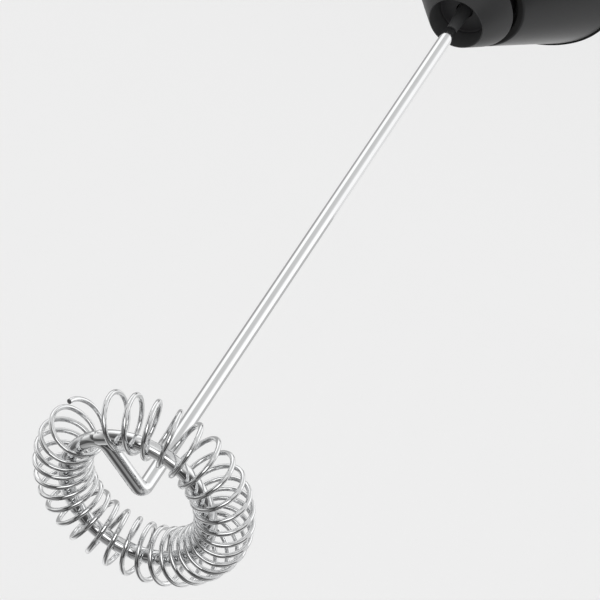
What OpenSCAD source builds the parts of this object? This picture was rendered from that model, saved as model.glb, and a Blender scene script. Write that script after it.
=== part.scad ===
// Hand-held milk frother: two AA cells and a small DC motor in an oval handle spin a steel
// wire whisk whose ring carries a coil spring.
// Millimetres. +Z points from the foot of the handle to the whisk, +X runs across the wide
// side of the handle and -Y is the front, with the button. The origin is the middle of the foot.

/* [Whisk] */
// Diameter of the whisk wire
wire_d = 1.8; // [1.6:0.1:2.0]
// Radius of the whisk ring, to the middle of its wire
ring_r = 9.0; // [8.5:0.1:9.6]
// Length of the shaft from the mouth of the nose to its bend
shaft_len = 95.7; // [80:0.1:110]
// Direction of the leg that joins the shaft to the ring, in degrees from +X
leg_at = 320; // [0:1:359]
// Diameter of the coil spring's wire
coil_wire_d = 0.6; // [0.5:0.05:0.7]
// Outer diameter of one turn of the coil spring
coil_d = 7.0; // [6.6:0.1:7.2]
// Arc of the ring that the coil spring covers, in degrees
coil_arc = 337.6; // [300:0.2:338]
// Mean advance of the turns: degrees round the wire for each degree round the ring
coil_rate = 33.8; // [24:0.1:36]

/* [Handle] */
// Height of the handle, from the foot to the mouth of the nose
handle_h = 104; // [104:0.5:108]
// Greatest width of the handle
handle_w = 36.8; // [36.4:0.1:38]
// Thickness of the handle as a share of its width
handle_flat = 0.8; // [0.79:0.01:0.84]
// Thickness of the moulded walls
wall = 1.8; // [1.6:0.1:1.9]
// Diameter of the mouth in the nose
mouth_d = 7.8; // [7:0.1:8]
// Width of the open groove below the nose
groove_w = 1.6; // [1:0.1:1.8]

/* [Motor] */
// Diameter of the motor can
motor_d = 20; // [18:0.5:20.5]
// Thickness of the motor can across its flats
motor_flat = 15.1; // [14:0.1:15.2]
// Length of the motor
motor_len = 25; // [25:0.1:25.2]
// Diameter of the motor shaft
motor_shaft_d = 2.0; // [1.8:0.1:2.2]

/* [Switch and cells] */
// Diameter of the push button
button_d = 11; // [9:0.5:11.5]
// Height of the button's middle above the foot
button_z = 68; // [66:0.5:72]
// Travel of the push button
button_travel = 1.0; // [0.6:0.1:1.0]
// Diameter of an AA cell
cell_d = 14.2; // [13.9:0.1:14.3]
// Length of an AA cell with its nub
cell_len = 50.5; // [49.9:0.1:50.5]

/* [Hidden] */

eps = 0.01;
play = 0.15;          // gap round the loose cover and the button
running_gap = 0.04;   // radial gap of the shaft in its bushings
round_fn = 64;
oval_fn = 48;         // sides of the moulded oval shells

// Whisk: heights above the foot, and the points of the bent wire
wire_r = wire_d / 2;
bend_z = handle_h + shaft_len;
ring_z = bend_z + 1.2;
corner_turn = 10;     // degrees of ring taken up by the corner
shaft_bend = 1.1;     // tangent length of the bend at the end of the shaft
bend_swell = 0.005;   // the wire is a little thicker where it is bent
bend_lap = 0.05;      // length by which a straight run enters a bend
corner_bend = ring_r * tan(corner_turn);
ring_start = leg_at + corner_turn;
ring_end = leg_at + 364;   // the ring's end is welded to the corner
tip_stub = 6;         // part of the wire held inside the coupling
tip_taper = 1.75;
tip_r = 0.58;
stub_r = 0.45;        // the wire is turned down where the coupling holds it
tip_z = handle_h + 1.65;

// Coil spring: it lies against the ring wire all round, on the inner side nearest the tip
coil_wire_r = coil_wire_d / 2;
loop_r = coil_d / 2 - coil_wire_r;
coil_lean = 55;       // direction of that touch, in degrees from the ring's plane
coil_shift = loop_r - coil_wire_r - wire_r - 0.08;
coil_r = ring_r + coil_shift * cos(coil_lean);
coil_z = ring_z - coil_shift * sin(coil_lean);
coil_from = leg_at - 4.2;
coil_phase = 99.6;
end_from = 320.6;     // from here on the last turn leans towards the end of the spring
end_over = 7.8;
end_lag = 3.5;
coil_step = 14;       // points on each turn
coil_sides = 6;

// Handle: profile stations as [height, share of the greatest width]
nose_h = 4.3;
nose_base_r = 6.6;
nose_base_z = handle_h - nose_h;
collar_z = nose_base_z - groove_w;
collar_r = 7.3;
spigot_r = 5.7;
lip_t = 0.12;         // thickness of the nose's wall at the mouth
mouth_depth = 3.2;
mouth_hole_r = 1.3;   // hole for the coupling at the bottom of the mouth
web_t = 1;            // thickness of that bottom
slot_r = 6.6;         // the groove runs down into the collar as a slot
slot_depth = 1.6;
mouth_r = mouth_d / 2;
half_w = handle_w / 2;
ring_band = 2.2;
cover_z = 85.8;       // lower edge of the front cover
band_z = cover_z - ring_band;
floor_z = 2.3;
shell_z0 = 0.5;
band_proud = 0.15;
skirt_h = 5;
cone_w = half_w - 1.3;
cone_t = cone_w * handle_flat;
lip_r = 0.5;          // rounding of the collar's edge
lip_from = 37;        // slope at which that rounding starts, in degrees

// Inside: heights of the stack of cells, bulkhead, motor and shaft
cell_z = 5.6;
cell_x = cell_d / 2 + 0.3;
cell_top = cell_z + cell_len;
plate_y = max(cell_d, motor_flat) / 2 + 0.25;
plate_t = 1.2;
bulkhead_z = cell_top + 2.5;
bulkhead_t = 1.6;
motor_z = bulkhead_z + bulkhead_t + 1.2;
motor_top = motor_z + motor_len;
front_plate_t = 1.6;
can_wall = 0.8;
end_bell_h = 3.5;
shaft_r = motor_shaft_d / 2;
shaft_z0 = motor_z + 0.3;
shaft_top = motor_top + 10.5;
coupling_z = motor_top + 6.2;
coupling_r = 2.5;
socket_h = 5.2;       // straight part of the coupling, round the motor shaft
neck_r = 1.05;        // the coupling's neck, below the bottom of the mouth
neck_lap = 0.3;
pair_x = 6;           // the motor's two screws and two terminals stand this far from its axis
boss_hole_r = 2.8;    // hole in the end of the can for the front bushing
magnet_gap = 0.03;
screw_free_r = 0.95;  // clearance hole for a screw
foot_recess = 0.7;

cover_half_x = 14.8;
cover_z0 = 4.6;
cover_z1 = 57.5;
ledge_w = 1.2;        // ledge in the body on which the battery cover rests
ledge_depth = wall / 2;
ledge_gap = 0.05;
notch_r = 3.2;        // fingernail notch at the lower edge of the cover
button_r = button_d / 2;
button_floor_y = plate_y + plate_t + 2.2;
button_top_y = 15.8;
button_flange = 0.6;
screw_r = 0.8;
plunger_r = 1.5;

plastic = [0.20, 0.20, 0.205];
dark_plastic = [0.07, 0.07, 0.07];
steel = [0.80, 0.81, 0.82];
brass = [0.83, 0.68, 0.38];

// ---- Vectors and placing -------------------------------------------------------------------

function unit(v) = v / norm(v);
function polar(r, a, z) = [r * cos(a), r * sin(a), z];

// Turns the local frame (x, y, z) to the given axes and moves it to p
module in_frame(x, y, p) {
    z = cross(x, y);
    multmatrix([
        [x[0], y[0], z[0], p[0]],
        [x[1], y[1], z[1], p[1]],
        [x[2], y[2], z[2], p[2]],
        [0, 0, 0, 1]
    ]) children();
}

// Straight wire from a to b
module wire_run(a, b, r) {
    z = unit(b - a);
    side = abs(z[2]) > 0.9 ? [1, 0, 0] : [0, 0, 1];
    x = unit(cross(side, z));
    in_frame(x, cross(z, x), a) cylinder(h = norm(b - a), r = r, $fn = round_fn);
}

// Round bend at corner p, from direction d_in to d_out, that uses reach on each side
module wire_bend(p, d_in, d_out, reach, r) {
    turn = acos(d_in * d_out);
    rho = reach / tan(turn / 2);
    centre = p + unit(d_out - d_in) * rho / cos(turn / 2);
    start = p - d_in * reach;
    in_frame(unit(start - centre), d_in, centre)
        rotate_extrude(angle = turn, $fn = round_fn)
            translate([rho, 0]) circle(r = r, $fn = 32);
}

// Solid that follows a row of rings. Each ring runs anticlockwise seen from the way ahead
module skin(rings, closed = false) {
    n = len(rings);
    m = len(rings[0]);
    last = closed ? n - 1 : n - 2;
    sides = [for (i = [0:last]) for (k = [0:m - 1])
        let (j = (i + 1) % n, next = (k + 1) % m)
        [i * m + k, j * m + k, j * m + next, i * m + next]];
    ends = closed ? [] : [[for (k = [0:m - 1]) k], [for (k = [m - 1:-1:0]) (n - 1) * m + k]];
    polyhedron(points = [for (ring = rings) for (p = ring) p], faces = concat(sides, ends));
}

// ---- Moulded oval shells -------------------------------------------------------------------

// Points of one oval: s = [half width, half thickness, height]
function oval(s) = [for (i = [0:oval_fn - 1])
    [s[0] * cos(360 * i / oval_fn), s[1] * sin(360 * i / oval_fn), s[2]]];
function ovals(stations) = [for (s = stations) oval(s)];

// Half width of the body at height z: a full belly, and a foot rounded by a quarter ellipse
foot_round = 5.5;
foot_inset = 3.6;
belly_z = 66;
function foot_in(z) = z >= foot_round ? 0
    : foot_inset * (1 - sqrt(1 - pow((foot_round - z) / (foot_round - shell_z0), 2)));
function slim(z) = z < belly_z ? 0.075 * pow((belly_z - z) / belly_z, 2)
    : 0.07 * pow((z - belly_z) / (cover_z - belly_z), 2);
function body_w(z) = half_w * (1 - slim(z)) - foot_in(z);
function body_t(z) = body_w(z) * handle_flat;

// Front cover: a straight cone, t = 0 at the band, that ends in a rounded edge at the collar
cone_end = [collar_r + lip_r * cos(lip_from), collar_z - lip_r * (1 - sin(lip_from))];
function cone_half(t, full) = full + (cone_end[0] - full) * t;
function cone_station(t, inset) = [cone_half(t, cone_w) - inset, cone_half(t, cone_t) - inset,
    cover_z + t * (cone_end[1] - cover_z)];
function lip_station(a) = let (r = collar_r + lip_r * cos(a))
    [r, r, collar_z - lip_r * (1 - sin(a))];

body_heights = [shell_z0, 0.8, 1.4, 2.4, 3.8, 5.6, 10, 18, 28, 38, 48, 58, 66, 70, 74, 79, band_z];
floor_heights = [floor_z, 3.4, 5.6, 10, 28, 48, 66, band_z];
cone_steps = [0, 0.25, 0.5, 0.75, 1];
bore_steps = [0.62, 0.1];

body_outer = [for (z = body_heights) [body_w(z), body_t(z), z]];
function body_inner(z) = [body_w(z) - wall, body_t(z) - wall, z];

// ---- Whisk and drive -----------------------------------------------------------------------

ring_start_dir = [-sin(ring_start), cos(ring_start), 0];
bend_point = [0, 0, bend_z];
corner_point = polar(ring_r, ring_start, ring_z) - ring_start_dir * corner_bend;
leg_dir = unit(corner_point - bend_point);
shaft_end = bend_z - shaft_bend + bend_lap;
lap_turn = bend_lap / ring_r * 180 / PI;

module whisk_wire() {
    color(steel) {
        rotate_extrude($fn = round_fn) polygon([
            [0, tip_z - tip_stub], [stub_r, tip_z - tip_stub], [stub_r, tip_z], [tip_r, tip_z],
            [wire_r, tip_z + tip_taper], [wire_r, shaft_end], [0, shaft_end]
        ]);
        wire_bend(bend_point, [0, 0, 1], leg_dir, shaft_bend, wire_r + bend_swell);
        wire_run(bend_point + leg_dir * (shaft_bend - bend_lap),
            corner_point - leg_dir * (corner_bend - bend_lap), wire_r);
        wire_bend(corner_point, leg_dir, ring_start_dir, corner_bend, wire_r + bend_swell);
        translate([0, 0, ring_z]) rotate([0, 0, ring_start - lap_turn])
            rotate_extrude(angle = ring_end - ring_start + lap_turn, $fn = 96)
                translate([ring_r, 0]) circle(r = wire_r, $fn = 32);
    }
}

// Turn angle after s degrees of ring. The turns sit a little closer at two places
function turn_at(s) = coil_phase + coil_rate * s - 70 * sin(s + 10) + 118 * cos(2 * s + 15);
function smooth(t) = t * t * (3 - 2 * t);
function coil_turn(s) = turn_at(s - end_lag * smooth(min(1, max(0, (s - end_from) / end_over))));

// Centre of the spring's wire after s degrees of ring
function coil_point(s) = polar(coil_r + loop_r * cos(coil_turn(s)), coil_from - s,
    coil_z + loop_r * sin(coil_turn(s)));
function coil_out(s) = [cos(coil_turn(s)) * cos(coil_from - s),
    cos(coil_turn(s)) * sin(coil_from - s), sin(coil_turn(s))];

function coil_ring(s) =
    let (t = unit(coil_point(s + 0.05) - coil_point(s - 0.05)),
         n = unit(coil_out(s) - t * (coil_out(s) * t)),
         b = cross(t, n))
    [for (k = [0:coil_sides - 1])
        coil_point(s) + coil_wire_r * (n * cos(360 * k / coil_sides) + b * sin(360 * k / coil_sides))];

module whisk_spring() {
    count = ceil(coil_arc * coil_rate / 360 * coil_step);
    color(steel) skin([for (i = [0:count]) coil_ring(coil_arc * i / count)]);
}

// Sleeve that joins the motor shaft to the wire: straight below, tapered towards the tip
module drive_coupling() {
    color(dark_plastic) difference() {
        rotate_extrude($fn = round_fn) polygon([
            [0, coupling_z], [coupling_r, coupling_z], [coupling_r, coupling_z + socket_h],
            [neck_r, handle_h - mouth_depth - web_t - neck_lap], [tip_r + 0.14, tip_z],
            [0, tip_z]
        ]);
        translate([0, 0, coupling_z - eps])
            cylinder(h = shaft_top - coupling_z + eps, r = shaft_r, $fn = round_fn);
        translate([0, 0, tip_z - tip_stub])
            cylinder(h = tip_stub + eps, r = stub_r, $fn = round_fn);
    }
}

module motor_shaft() {
    color(steel) translate([0, 0, shaft_z0])
        cylinder(h = shaft_top - shaft_z0, r = shaft_r, $fn = round_fn);
}

core_r = 6.5;
core_z0 = motor_z + 10;
core_h = 11;

// Three poles: a round stack with three slots and a waist behind each pole shoe
module armature_core() {
    color([0.45, 0.45, 0.47]) translate([0, 0, core_z0]) difference() {
        cylinder(h = core_h, r = core_r, $fn = round_fn);
        translate([0, 0, -eps]) cylinder(h = core_h + 1, r = shaft_r, $fn = round_fn);
        for (a = [60, 180, 300]) rotate([0, 0, a]) {
            translate([2.4, -0.7, -eps]) cube([core_r, 1.4, core_h + 1]);
            translate([3.9, 0, -eps]) cylinder(h = core_h + 1, r = 1.7, $fn = round_fn);
        }
    }
}

// End turns of the three coils, above and below the stack
module armature_windings() {
    color([0.72, 0.36, 0.18]) translate([0, 0, core_z0 + core_h / 2])
        for (up = [0, 1]) mirror([0, 0, up]) translate([0, 0, core_h / 2])
            for (a = [0, 120, 240]) rotate([0, 0, a]) intersection() {
                translate([1.6, -2.2, 0]) cube([3.8, 4.4, 2]);
                translate([3.5, 0, -2.4]) rotate([90, 0, 0])
                    cylinder(h = 6, r = 4.6, center = true, $fn = round_fn);
            }
}

module commutator() {
    color([0.78, 0.48, 0.25]) translate([0, 0, motor_z + 4.2]) difference() {
        union() {
            cylinder(h = 3.4, r = 2.2, $fn = round_fn);
            translate([0, 0, 2.8]) cylinder(h = 0.6, r = 2.8, $fn = round_fn);
        }
        translate([0, 0, -eps]) cylinder(h = 5, r = shaft_r, $fn = round_fn);
        for (a = [30, 150, 270]) rotate([0, 0, a])
            translate([1.5, -0.15, -eps]) cube([2, 0.3, 5]);
    }
}

// ---- Nose and shells -----------------------------------------------------------------------

// Cone with the mouth, and a spigot that plugs into the collar of the front cover
module nose_cap() {
    spigot_z = collar_z - 3.6;
    web_z = handle_h - mouth_depth;
    color(plastic) rotate_extrude($fn = 96) polygon([
        [mouth_r - lip_t, handle_h], [mouth_r, handle_h - 0.05],
        [nose_base_r - 0.12, nose_base_z + 0.25], [nose_base_r, nose_base_z],
        [spigot_r, nose_base_z], [spigot_r, spigot_z], [spigot_r - 0.9, spigot_z],
        [spigot_r - 0.9, web_z - web_t], [mouth_hole_r, web_z - web_t],
        [mouth_hole_r, web_z], [mouth_r - lip_t - 0.3, web_z]
    ]);
}

// Oval cone that runs into a round collar, with a skirt that plugs into the body
module front_cover() {
    skirt_w = body_w(band_z) - wall - 0.1;
    skirt_t = body_t(band_z) - wall - 0.1;
    bore = spigot_r + 0.05;
    skirt_z = band_z - skirt_h;
    color(plastic) skin(ovals(concat(
        [for (t = cone_steps) cone_station(t, 0)],
        [for (a = [50, 70, 90]) lip_station(a)],
        [[slot_r, slot_r, collar_z], [slot_r, slot_r, collar_z - slot_depth],
         [bore, bore, collar_z - slot_depth], [bore, bore, collar_z - 4.4]],
        [for (t = bore_steps) cone_station(t, wall)],
        [[skirt_w - 1.4, skirt_t - 1.4, cover_z - 1], [skirt_w - 1.4, skirt_t - 1.4, skirt_z],
         [skirt_w, skirt_t, skirt_z], [skirt_w, skirt_t, cover_z]]
    )), closed = true);
}

// Black rubber band that seals the joint between cover and body, hardly proud of both
module seal_ring() {
    w = body_w(band_z);
    t = body_t(band_z);
    inner = 0.1 - wall;
    color(dark_plastic) skin(ovals([
        [w - band_proud, t - band_proud, band_z], [w + band_proud, t + band_proud, band_z + 0.25],
        [cone_w + 2 * band_proud, cone_t + 2 * band_proud, cover_z - 0.15],
        [cone_w, cone_t, cover_z],
        [w + inner, t + inner, cover_z], [w + inner, t + inner, band_z]
    ]), closed = true);
}

module body_cup() {
    skin(ovals(concat(body_outer,
        [for (i = [len(floor_heights) - 1:-1:0]) body_inner(floor_heights[i])])));
}

// Solid with the body's form, smaller by inset, beside the battery cover
module body_core(inset) {
    skin(ovals([for (z = body_heights) if (z > floor_z && z < button_z)
        [body_w(z) - inset, body_t(z) - inset, z]]));
}

// Outline of the battery cover in the X-Z plane, pushed through the back wall
module cover_prism(gap) {
    corner = 4;
    rotate([90, 0, 180]) linear_extrude(height = 20)
        offset(r = corner) offset(delta = -corner - gap)
            translate([-cover_half_x, cover_z0]) square([2 * cover_half_x, cover_z1 - cover_z0]);
}

screw_z = [17, 45];

// Places a shape on the front side: its z runs outwards from the middle plane, its y upwards
module on_front(z) {
    translate([0, 0, z]) rotate([90, 0, 0]) children();
}

module body_shell() {
    boss_y = plate_y + plate_t;
    color(plastic) difference() {
        union() {
            body_cup();
            for (z = screw_z) on_front(z) translate([0, 0, boss_y])
                cylinder(h = body_t(z) - boss_y - 0.6, r = 2.4, $fn = 24);
        }
        cover_prism(ledge_w);
        difference() {
            cover_prism(0);
            body_core(ledge_depth);
        }
        on_front(button_z) translate([0, 0, button_floor_y])
            cylinder(h = 10, r = button_r + play, $fn = round_fn);
        for (z = screw_z) on_front(z) translate([0, 0, boss_y - eps])
            cylinder(h = 3.4, r = screw_r, $fn = 24);
        translate([0, 0, shell_z0 - eps]) foot_outline(foot_recess + eps, 0.05);
    }
}

// Stadium-shaped foot: two round ends and a flat between them
module foot_outline(h, grow) {
    r = 7.5 + grow;
    reach = 5;
    for (x = [-reach, reach]) translate([x, 0, 0]) cylinder(h = h, r = r, $fn = round_fn);
    translate([-reach, -r, 0]) cube([2 * reach, 2 * r, h]);
}

module foot_pad() {
    color(dark_plastic) foot_outline(shell_z0 + foot_recess, 0);
}

// Back cover over the cells. It rests on the body's ledge, with a fingernail notch at its
// lower edge and grip ribs near its upper end
module battery_cover() {
    rib_z = [47.5, 49.7, 51.9];
    color(plastic) {
        difference() {
            intersection() {
                body_cup();
                cover_prism(play);
            }
            difference() {
                body_core(ledge_depth - ledge_gap);
                cover_prism(ledge_w + play);
            }
            difference() {
                translate([0, 0, cover_z0]) rotate([-90, 0, 0])
                    cylinder(h = half_w, r = notch_r, $fn = 32);
                body_core(ledge_depth);
            }
        }
        for (z = rib_z) intersection() {
            skin(ovals([for (s = [[0.35, -0.35], [0.35, 0.35], [-0.6, 0.35], [-0.6, -0.35]])
                [body_w(z) + s[0], body_t(z) + s[0], z + s[1]]]), closed = true);
            translate([-7, 0, z - 1]) cube([14, 20, 2]);
        }
    }
}

// ---- Inner frame and motor -----------------------------------------------------------------

// Plate in front of the cells, bulkhead above them, and a cage round the motor
module chassis() {
    rail_x = motor_d / 2 + 0.1;
    top_z = motor_top + front_plate_t;
    back_y = -plate_y - plate_t;
    color([0.62, 0.62, 0.60]) difference() {
        union() {
            translate([-9, back_y, floor_z]) cube([18, plate_t, bulkhead_z - floor_z + 1]);
            translate([-5, back_y, bulkhead_z]) cube([10, plate_t, 14.5]);
            translate([0, 0, bulkhead_z]) intersection() {
                cylinder(h = bulkhead_t, r = 15.2, $fn = round_fn);
                translate([-15, back_y, 0]) cube([30, 2 * plate_y + plate_t, bulkhead_t]);
            }
            for (s = [-1, 1]) translate([s * (rail_x + 0.75) - 0.75, -4, bulkhead_z])
                cube([1.5, 8, top_z - bulkhead_z]);
            translate([0, 0, motor_top]) intersection() {
                cylinder(h = front_plate_t, r = rail_x + 1.5, $fn = round_fn);
                translate([-12, -7.4, 0]) cube([24, 14.8, front_plate_t]);
            }
        }
        translate([0, 0, motor_top - eps]) cylinder(h = 3, r = 3.1, $fn = round_fn);
        for (s = [-1, 1]) {
            translate([s * pair_x, 0, motor_top - eps])
                cylinder(h = 3, r = screw_free_r, $fn = round_fn);
            translate([s * pair_x - 1.4, -1, bulkhead_z - eps]) cube([2.8, 2, bulkhead_t + 1]);
        }
        for (z = screw_z) on_front(z) translate([0, 0, plate_y - eps])
            cylinder(h = plate_t + 1, r = screw_free_r, $fn = round_fn);
        translate([-tab_x - 1, back_y - 1, bulkhead_z - contact_t - play])
            cube([2, plate_t + 2, contact_t + 2 * play]);
    }
}

// Pan-head screw along +Z with its head's seat at z = 0
module pan_screw(shank_r, shank_len, head_r, head_h) {
    cylinder(h = shank_len, r = shank_r, $fn = 32);
    difference() {
        translate([0, 0, -head_h]) cylinder(h = head_h, r1 = head_r * 0.7, r2 = head_r, $fn = 32);
        for (a = [0, 90]) rotate([0, 0, a])
            translate([-head_r * 0.5, -0.18, -head_h - eps]) cube([head_r, 0.36, 0.5]);
    }
}

module chassis_screws() {
    color(steel) for (z = screw_z) on_front(z) translate([0, 0, plate_y])
        pan_screw(screw_r, 4.2, 1.5, 1.0);
}

module motor_screws() {
    color(steel) for (s = [-1, 1]) translate([s * pair_x, 0, motor_top + front_plate_t])
        rotate([180, 0, 0]) pan_screw(screw_r, 2.4, 1.6, 1.0);
}

module motor_outline(h, inset) {
    intersection() {
        cylinder(h = h, r = motor_d / 2 - inset, $fn = 96);
        translate([-motor_d, -motor_flat / 2 + inset, 0])
            cube([2 * motor_d, motor_flat - 2 * inset, h]);
    }
}

module motor_can() {
    can_z = motor_z + end_bell_h;
    can_h = motor_len - end_bell_h;
    color([0.72, 0.73, 0.74]) translate([0, 0, can_z]) difference() {
        motor_outline(can_h, 0);
        translate([0, 0, -eps]) motor_outline(can_h - can_wall + eps, can_wall);
        cylinder(h = can_h + 1, r = boss_hole_r, $fn = round_fn);
        for (s = [-1, 1]) translate([s * pair_x, 0, can_h - 2])
            cylinder(h = 3, r = screw_r, $fn = round_fn);
    }
}

module motor_magnets() {
    r = motor_d / 2 - can_wall - magnet_gap;
    magnet_h = core_h + 2.5;
    color([0.25, 0.25, 0.27]) translate([0, 0, core_z0 - 1.5]) for (s = [-1, 1])
        intersection() {
            difference() {
                cylinder(h = magnet_h, r = r, $fn = 96);
                translate([0, 0, -eps]) cylinder(h = magnet_h + 1, r = core_r + 0.4, $fn = 96);
            }
            translate([s * 7.5 - 4, -5.5, 0]) cube([8, 11, magnet_h]);
        }
}

module motor_end_bell() {
    color([0.88, 0.88, 0.85]) translate([0, 0, motor_z]) difference() {
        union() {
            motor_outline(end_bell_h, 0);
            translate([0, 0, end_bell_h]) motor_outline(0.8, can_wall);
        }
        translate([0, 0, 2.3]) cylinder(h = 4, r = 5.6, $fn = round_fn);
        translate([0, 0, -eps]) cylinder(h = 4, r = 2.4, $fn = round_fn);
        for (s = [-1, 1]) translate([s * pair_x - 1, -0.35, -eps]) cube([2, 0.7, 6]);
    }
}

module bushing(h, r) {
    difference() {
        cylinder(h = h, r = r, $fn = round_fn);
        translate([0, 0, -eps]) cylinder(h = h + 1, r = shaft_r + running_gap, $fn = round_fn);
    }
}

module front_bushing() {
    color(brass) translate([0, 0, motor_top - 1.8]) {
        bushing(3.2, boss_hole_r);
        difference() {
            bushing(1.0, 3.6);
            translate([0, 0, -eps]) cylinder(h = 2, r = boss_hole_r - 0.1, $fn = round_fn);
        }
    }
}

module rear_bushing() {
    color(brass) translate([0, 0, motor_z]) bushing(2.3, 2.4);
}

// Two leaf brushes: an arm from the terminal and a blade that stands beside the commutator
module motor_brushes() {
    arm_z = motor_z + 4.35;
    color([0.80, 0.52, 0.30]) for (a = [0, 180]) rotate([0, 0, a]) {
        translate([2.3, -0.9, arm_z]) cube([2.8, 1.8, 0.4]);
        translate([2.3, -0.9, arm_z + 0.4]) cube([0.5, 1.8, 2]);
    }
}

module motor_terminals() {
    color(brass) for (s = [-1, 1])
        translate([s * pair_x - 0.9, -0.25, motor_z - 1.8]) cube([1.8, 0.5, 6.7]);
}

// ---- Cells, contacts and switch ------------------------------------------------------------

// AA cell standing on its flat end, with the nub up
module cell() {
    nub_h = 1.2;
    rotate_extrude($fn = round_fn) polygon([
        [0, 0], [cell_d / 2 - 0.6, 0], [cell_d / 2, 0.5], [cell_d / 2, cell_len - nub_h - 0.5],
        [cell_d / 2 - 0.6, cell_len - nub_h], [2.75, cell_len - nub_h],
        [2.6, cell_len - 0.1], [2.4, cell_len], [0, cell_len]
    ]);
}

module battery_right() {
    color([0.30, 0.33, 0.36]) translate([cell_x, 0, cell_z]) cell();
}

module battery_left() {
    color([0.30, 0.33, 0.36]) translate([-cell_x, 0, cell_top]) rotate([180, 0, 0]) cell();
}

// Conical contact spring that narrows upwards
module contact_spring(h, r0, r1, turns) {
    steps = 12 * turns;
    wr = 0.3;
    skin([for (i = [0:steps])
        let (t = i / steps, r = r0 + (r1 - r0) * t)
        [for (k = [0:4]) polar(r + wr * cos(72 * k), 360 * turns * t,
            wr + (h - 2 * wr) * t - wr * sin(72 * k))]]);
}

contact_t = 0.4;
tab_x = 4.2;
lead_r = 0.45;
lead_y = plate_y + plate_t + lead_r + 0.05;
switch_side = 6;
switch_h = 1.5;

// Flat contact plate under the bulkhead
module contact_plate() {
    translate([-4, -4, bulkhead_z - contact_t]) cube([8, 8, contact_t]);
}

// Plate with a dimple for the nub of the right-hand cell, and a tab to the motor terminal
module contact_positive() {
    dimple_h = bulkhead_z - cell_top - contact_t;
    color(brass) {
        translate([cell_x, 0, 0]) contact_plate();
        translate([cell_x, 0, cell_top]) cylinder(h = dimple_h, r1 = 1.6, r2 = 2.4, $fn = 32);
        translate([pair_x - 0.9, 0.3, bulkhead_z - contact_t]) cube([1.8, contact_t, 2.6]);
    }
}

// Plate with a spring for the left-hand cell, and a tab through the front plate
module contact_negative() {
    spring_h = bulkhead_z - cell_top - contact_t;
    color(brass) {
        translate([-cell_x, 0, 0]) contact_plate();
        translate([-cell_x, 0, bulkhead_z - contact_t + 0.05]) rotate([180, 0, 0])
            contact_spring(spring_h, 3.4, 2.0, 2);
        translate([-tab_x - 0.8, -lead_y - 0.5, bulkhead_z - contact_t])
            cube([1.6, lead_y - 3, contact_t]);
    }
}

// Strip on the floor that joins the two cells, with a dimple and a spring
module bridge_contact() {
    dimple_h = cell_z - floor_z - contact_t;
    color(brass) translate([0, 0, floor_z]) {
        translate([-11, -3.5, 0]) cube([22, 7, contact_t]);
        translate([-cell_x, 0, contact_t]) cylinder(h = dimple_h, r1 = 2.4, r2 = 1.6, $fn = 32);
        translate([cell_x, 0, contact_t - 0.05]) contact_spring(dimple_h + 0.05, 3.2, 2.0, 3);
    }
}

// Insulated wire through the given points, with a small ball at each turn
module lead(path) {
    for (i = [1:len(path) - 1]) wire_run(path[i - 1], path[i], lead_r);
    for (i = [1:len(path) - 2]) translate(path[i]) sphere(r = lead_r + 0.04, $fn = 32);
}

// From the tab of the negative contact up to the switch
module lead_switch() {
    z = button_z - 1.5;
    color([0.08, 0.08, 0.08]) lead([[-tab_x, -lead_y, bulkhead_z], [-tab_x, -lead_y, z],
        [-switch_side / 2, -lead_y, z]]);
}

// From the switch round the end of the motor to its left-hand terminal
module lead_motor() {
    z = button_z + 1.5;
    low = bulkhead_z + bulkhead_t + 0.6;
    color([0.65, 0.08, 0.07]) lead([[-switch_side / 2, -lead_y, z], [-pair_x, -lead_y, z],
        [-pair_x, -lead_y, low], [-pair_x, -0.25, low]]);
}

module switch_case() {
    color(dark_plastic) on_front(button_z) translate([0, 0, plate_y + plate_t]) difference() {
        translate([-switch_side / 2, -switch_side / 2, 0]) cube([switch_side, switch_side, switch_h]);
        translate([0, 0, 0.05]) cylinder(h = 3, r = plunger_r + 0.05, $fn = round_fn);
    }
}

button_hollow = 0.8;

module switch_plunger() {
    y0 = plate_y + plate_t + button_travel + 0.1;
    color([0.85, 0.85, 0.82]) on_front(button_z) translate([0, 0, y0])
        cylinder(h = button_floor_y + button_hollow - y0, r = plunger_r, $fn = round_fn);
}

// Dished cap, hollow below, with a flange that keeps it inside the shell
module switch_button() {
    h = button_top_y - button_floor_y;
    color([0.62, 0.63, 0.64]) on_front(button_z) translate([0, 0, button_floor_y])
        rotate_extrude($fn = 96) polygon([
            [0, button_hollow], [4.6, button_hollow], [4.6, 0], [button_r + button_flange, 0],
            [button_r + button_flange, 0.55], [button_r, 0.55], [button_r, h - 0.7],
            [button_r - 0.25, h - 0.2], [button_r - 0.8, h], [button_r - 1.6, h - 0.05],
            [button_r - 3.4, h - 0.35], [0, h - 0.5]
        ]);
}

whisk_wire();
whisk_spring();
drive_coupling();
motor_shaft();
armature_core();
armature_windings();
commutator();
nose_cap();
front_cover();
seal_ring();
body_shell();
foot_pad();
battery_cover();
chassis();
chassis_screws();
motor_can();
motor_magnets();
motor_end_bell();
front_bushing();
rear_bushing();
motor_brushes();
motor_terminals();
motor_screws();
battery_right();
battery_left();
contact_positive();
contact_negative();
bridge_contact();
lead_switch();
lead_motor();
switch_case();
switch_plunger();
switch_button();
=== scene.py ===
# %% [markdown]
# # A hand-held milk frother
# The real object is a small kitchen tool. A battery motor in a dark oval handle spins a thin
# steel shaft, and on the shaft's end sits a ring of wire that carries a coil spring.
# This lesson dresses the engineering model of that tool. The frame holds the true sizes and the
# joints. Here every visible surface is made again as a smooth mesh with its own finish, and
# each new piece rides on the body that carries it.

# %% Load the frame
import math

import bmesh
import bpy
from mathutils import Matrix, Vector


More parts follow.
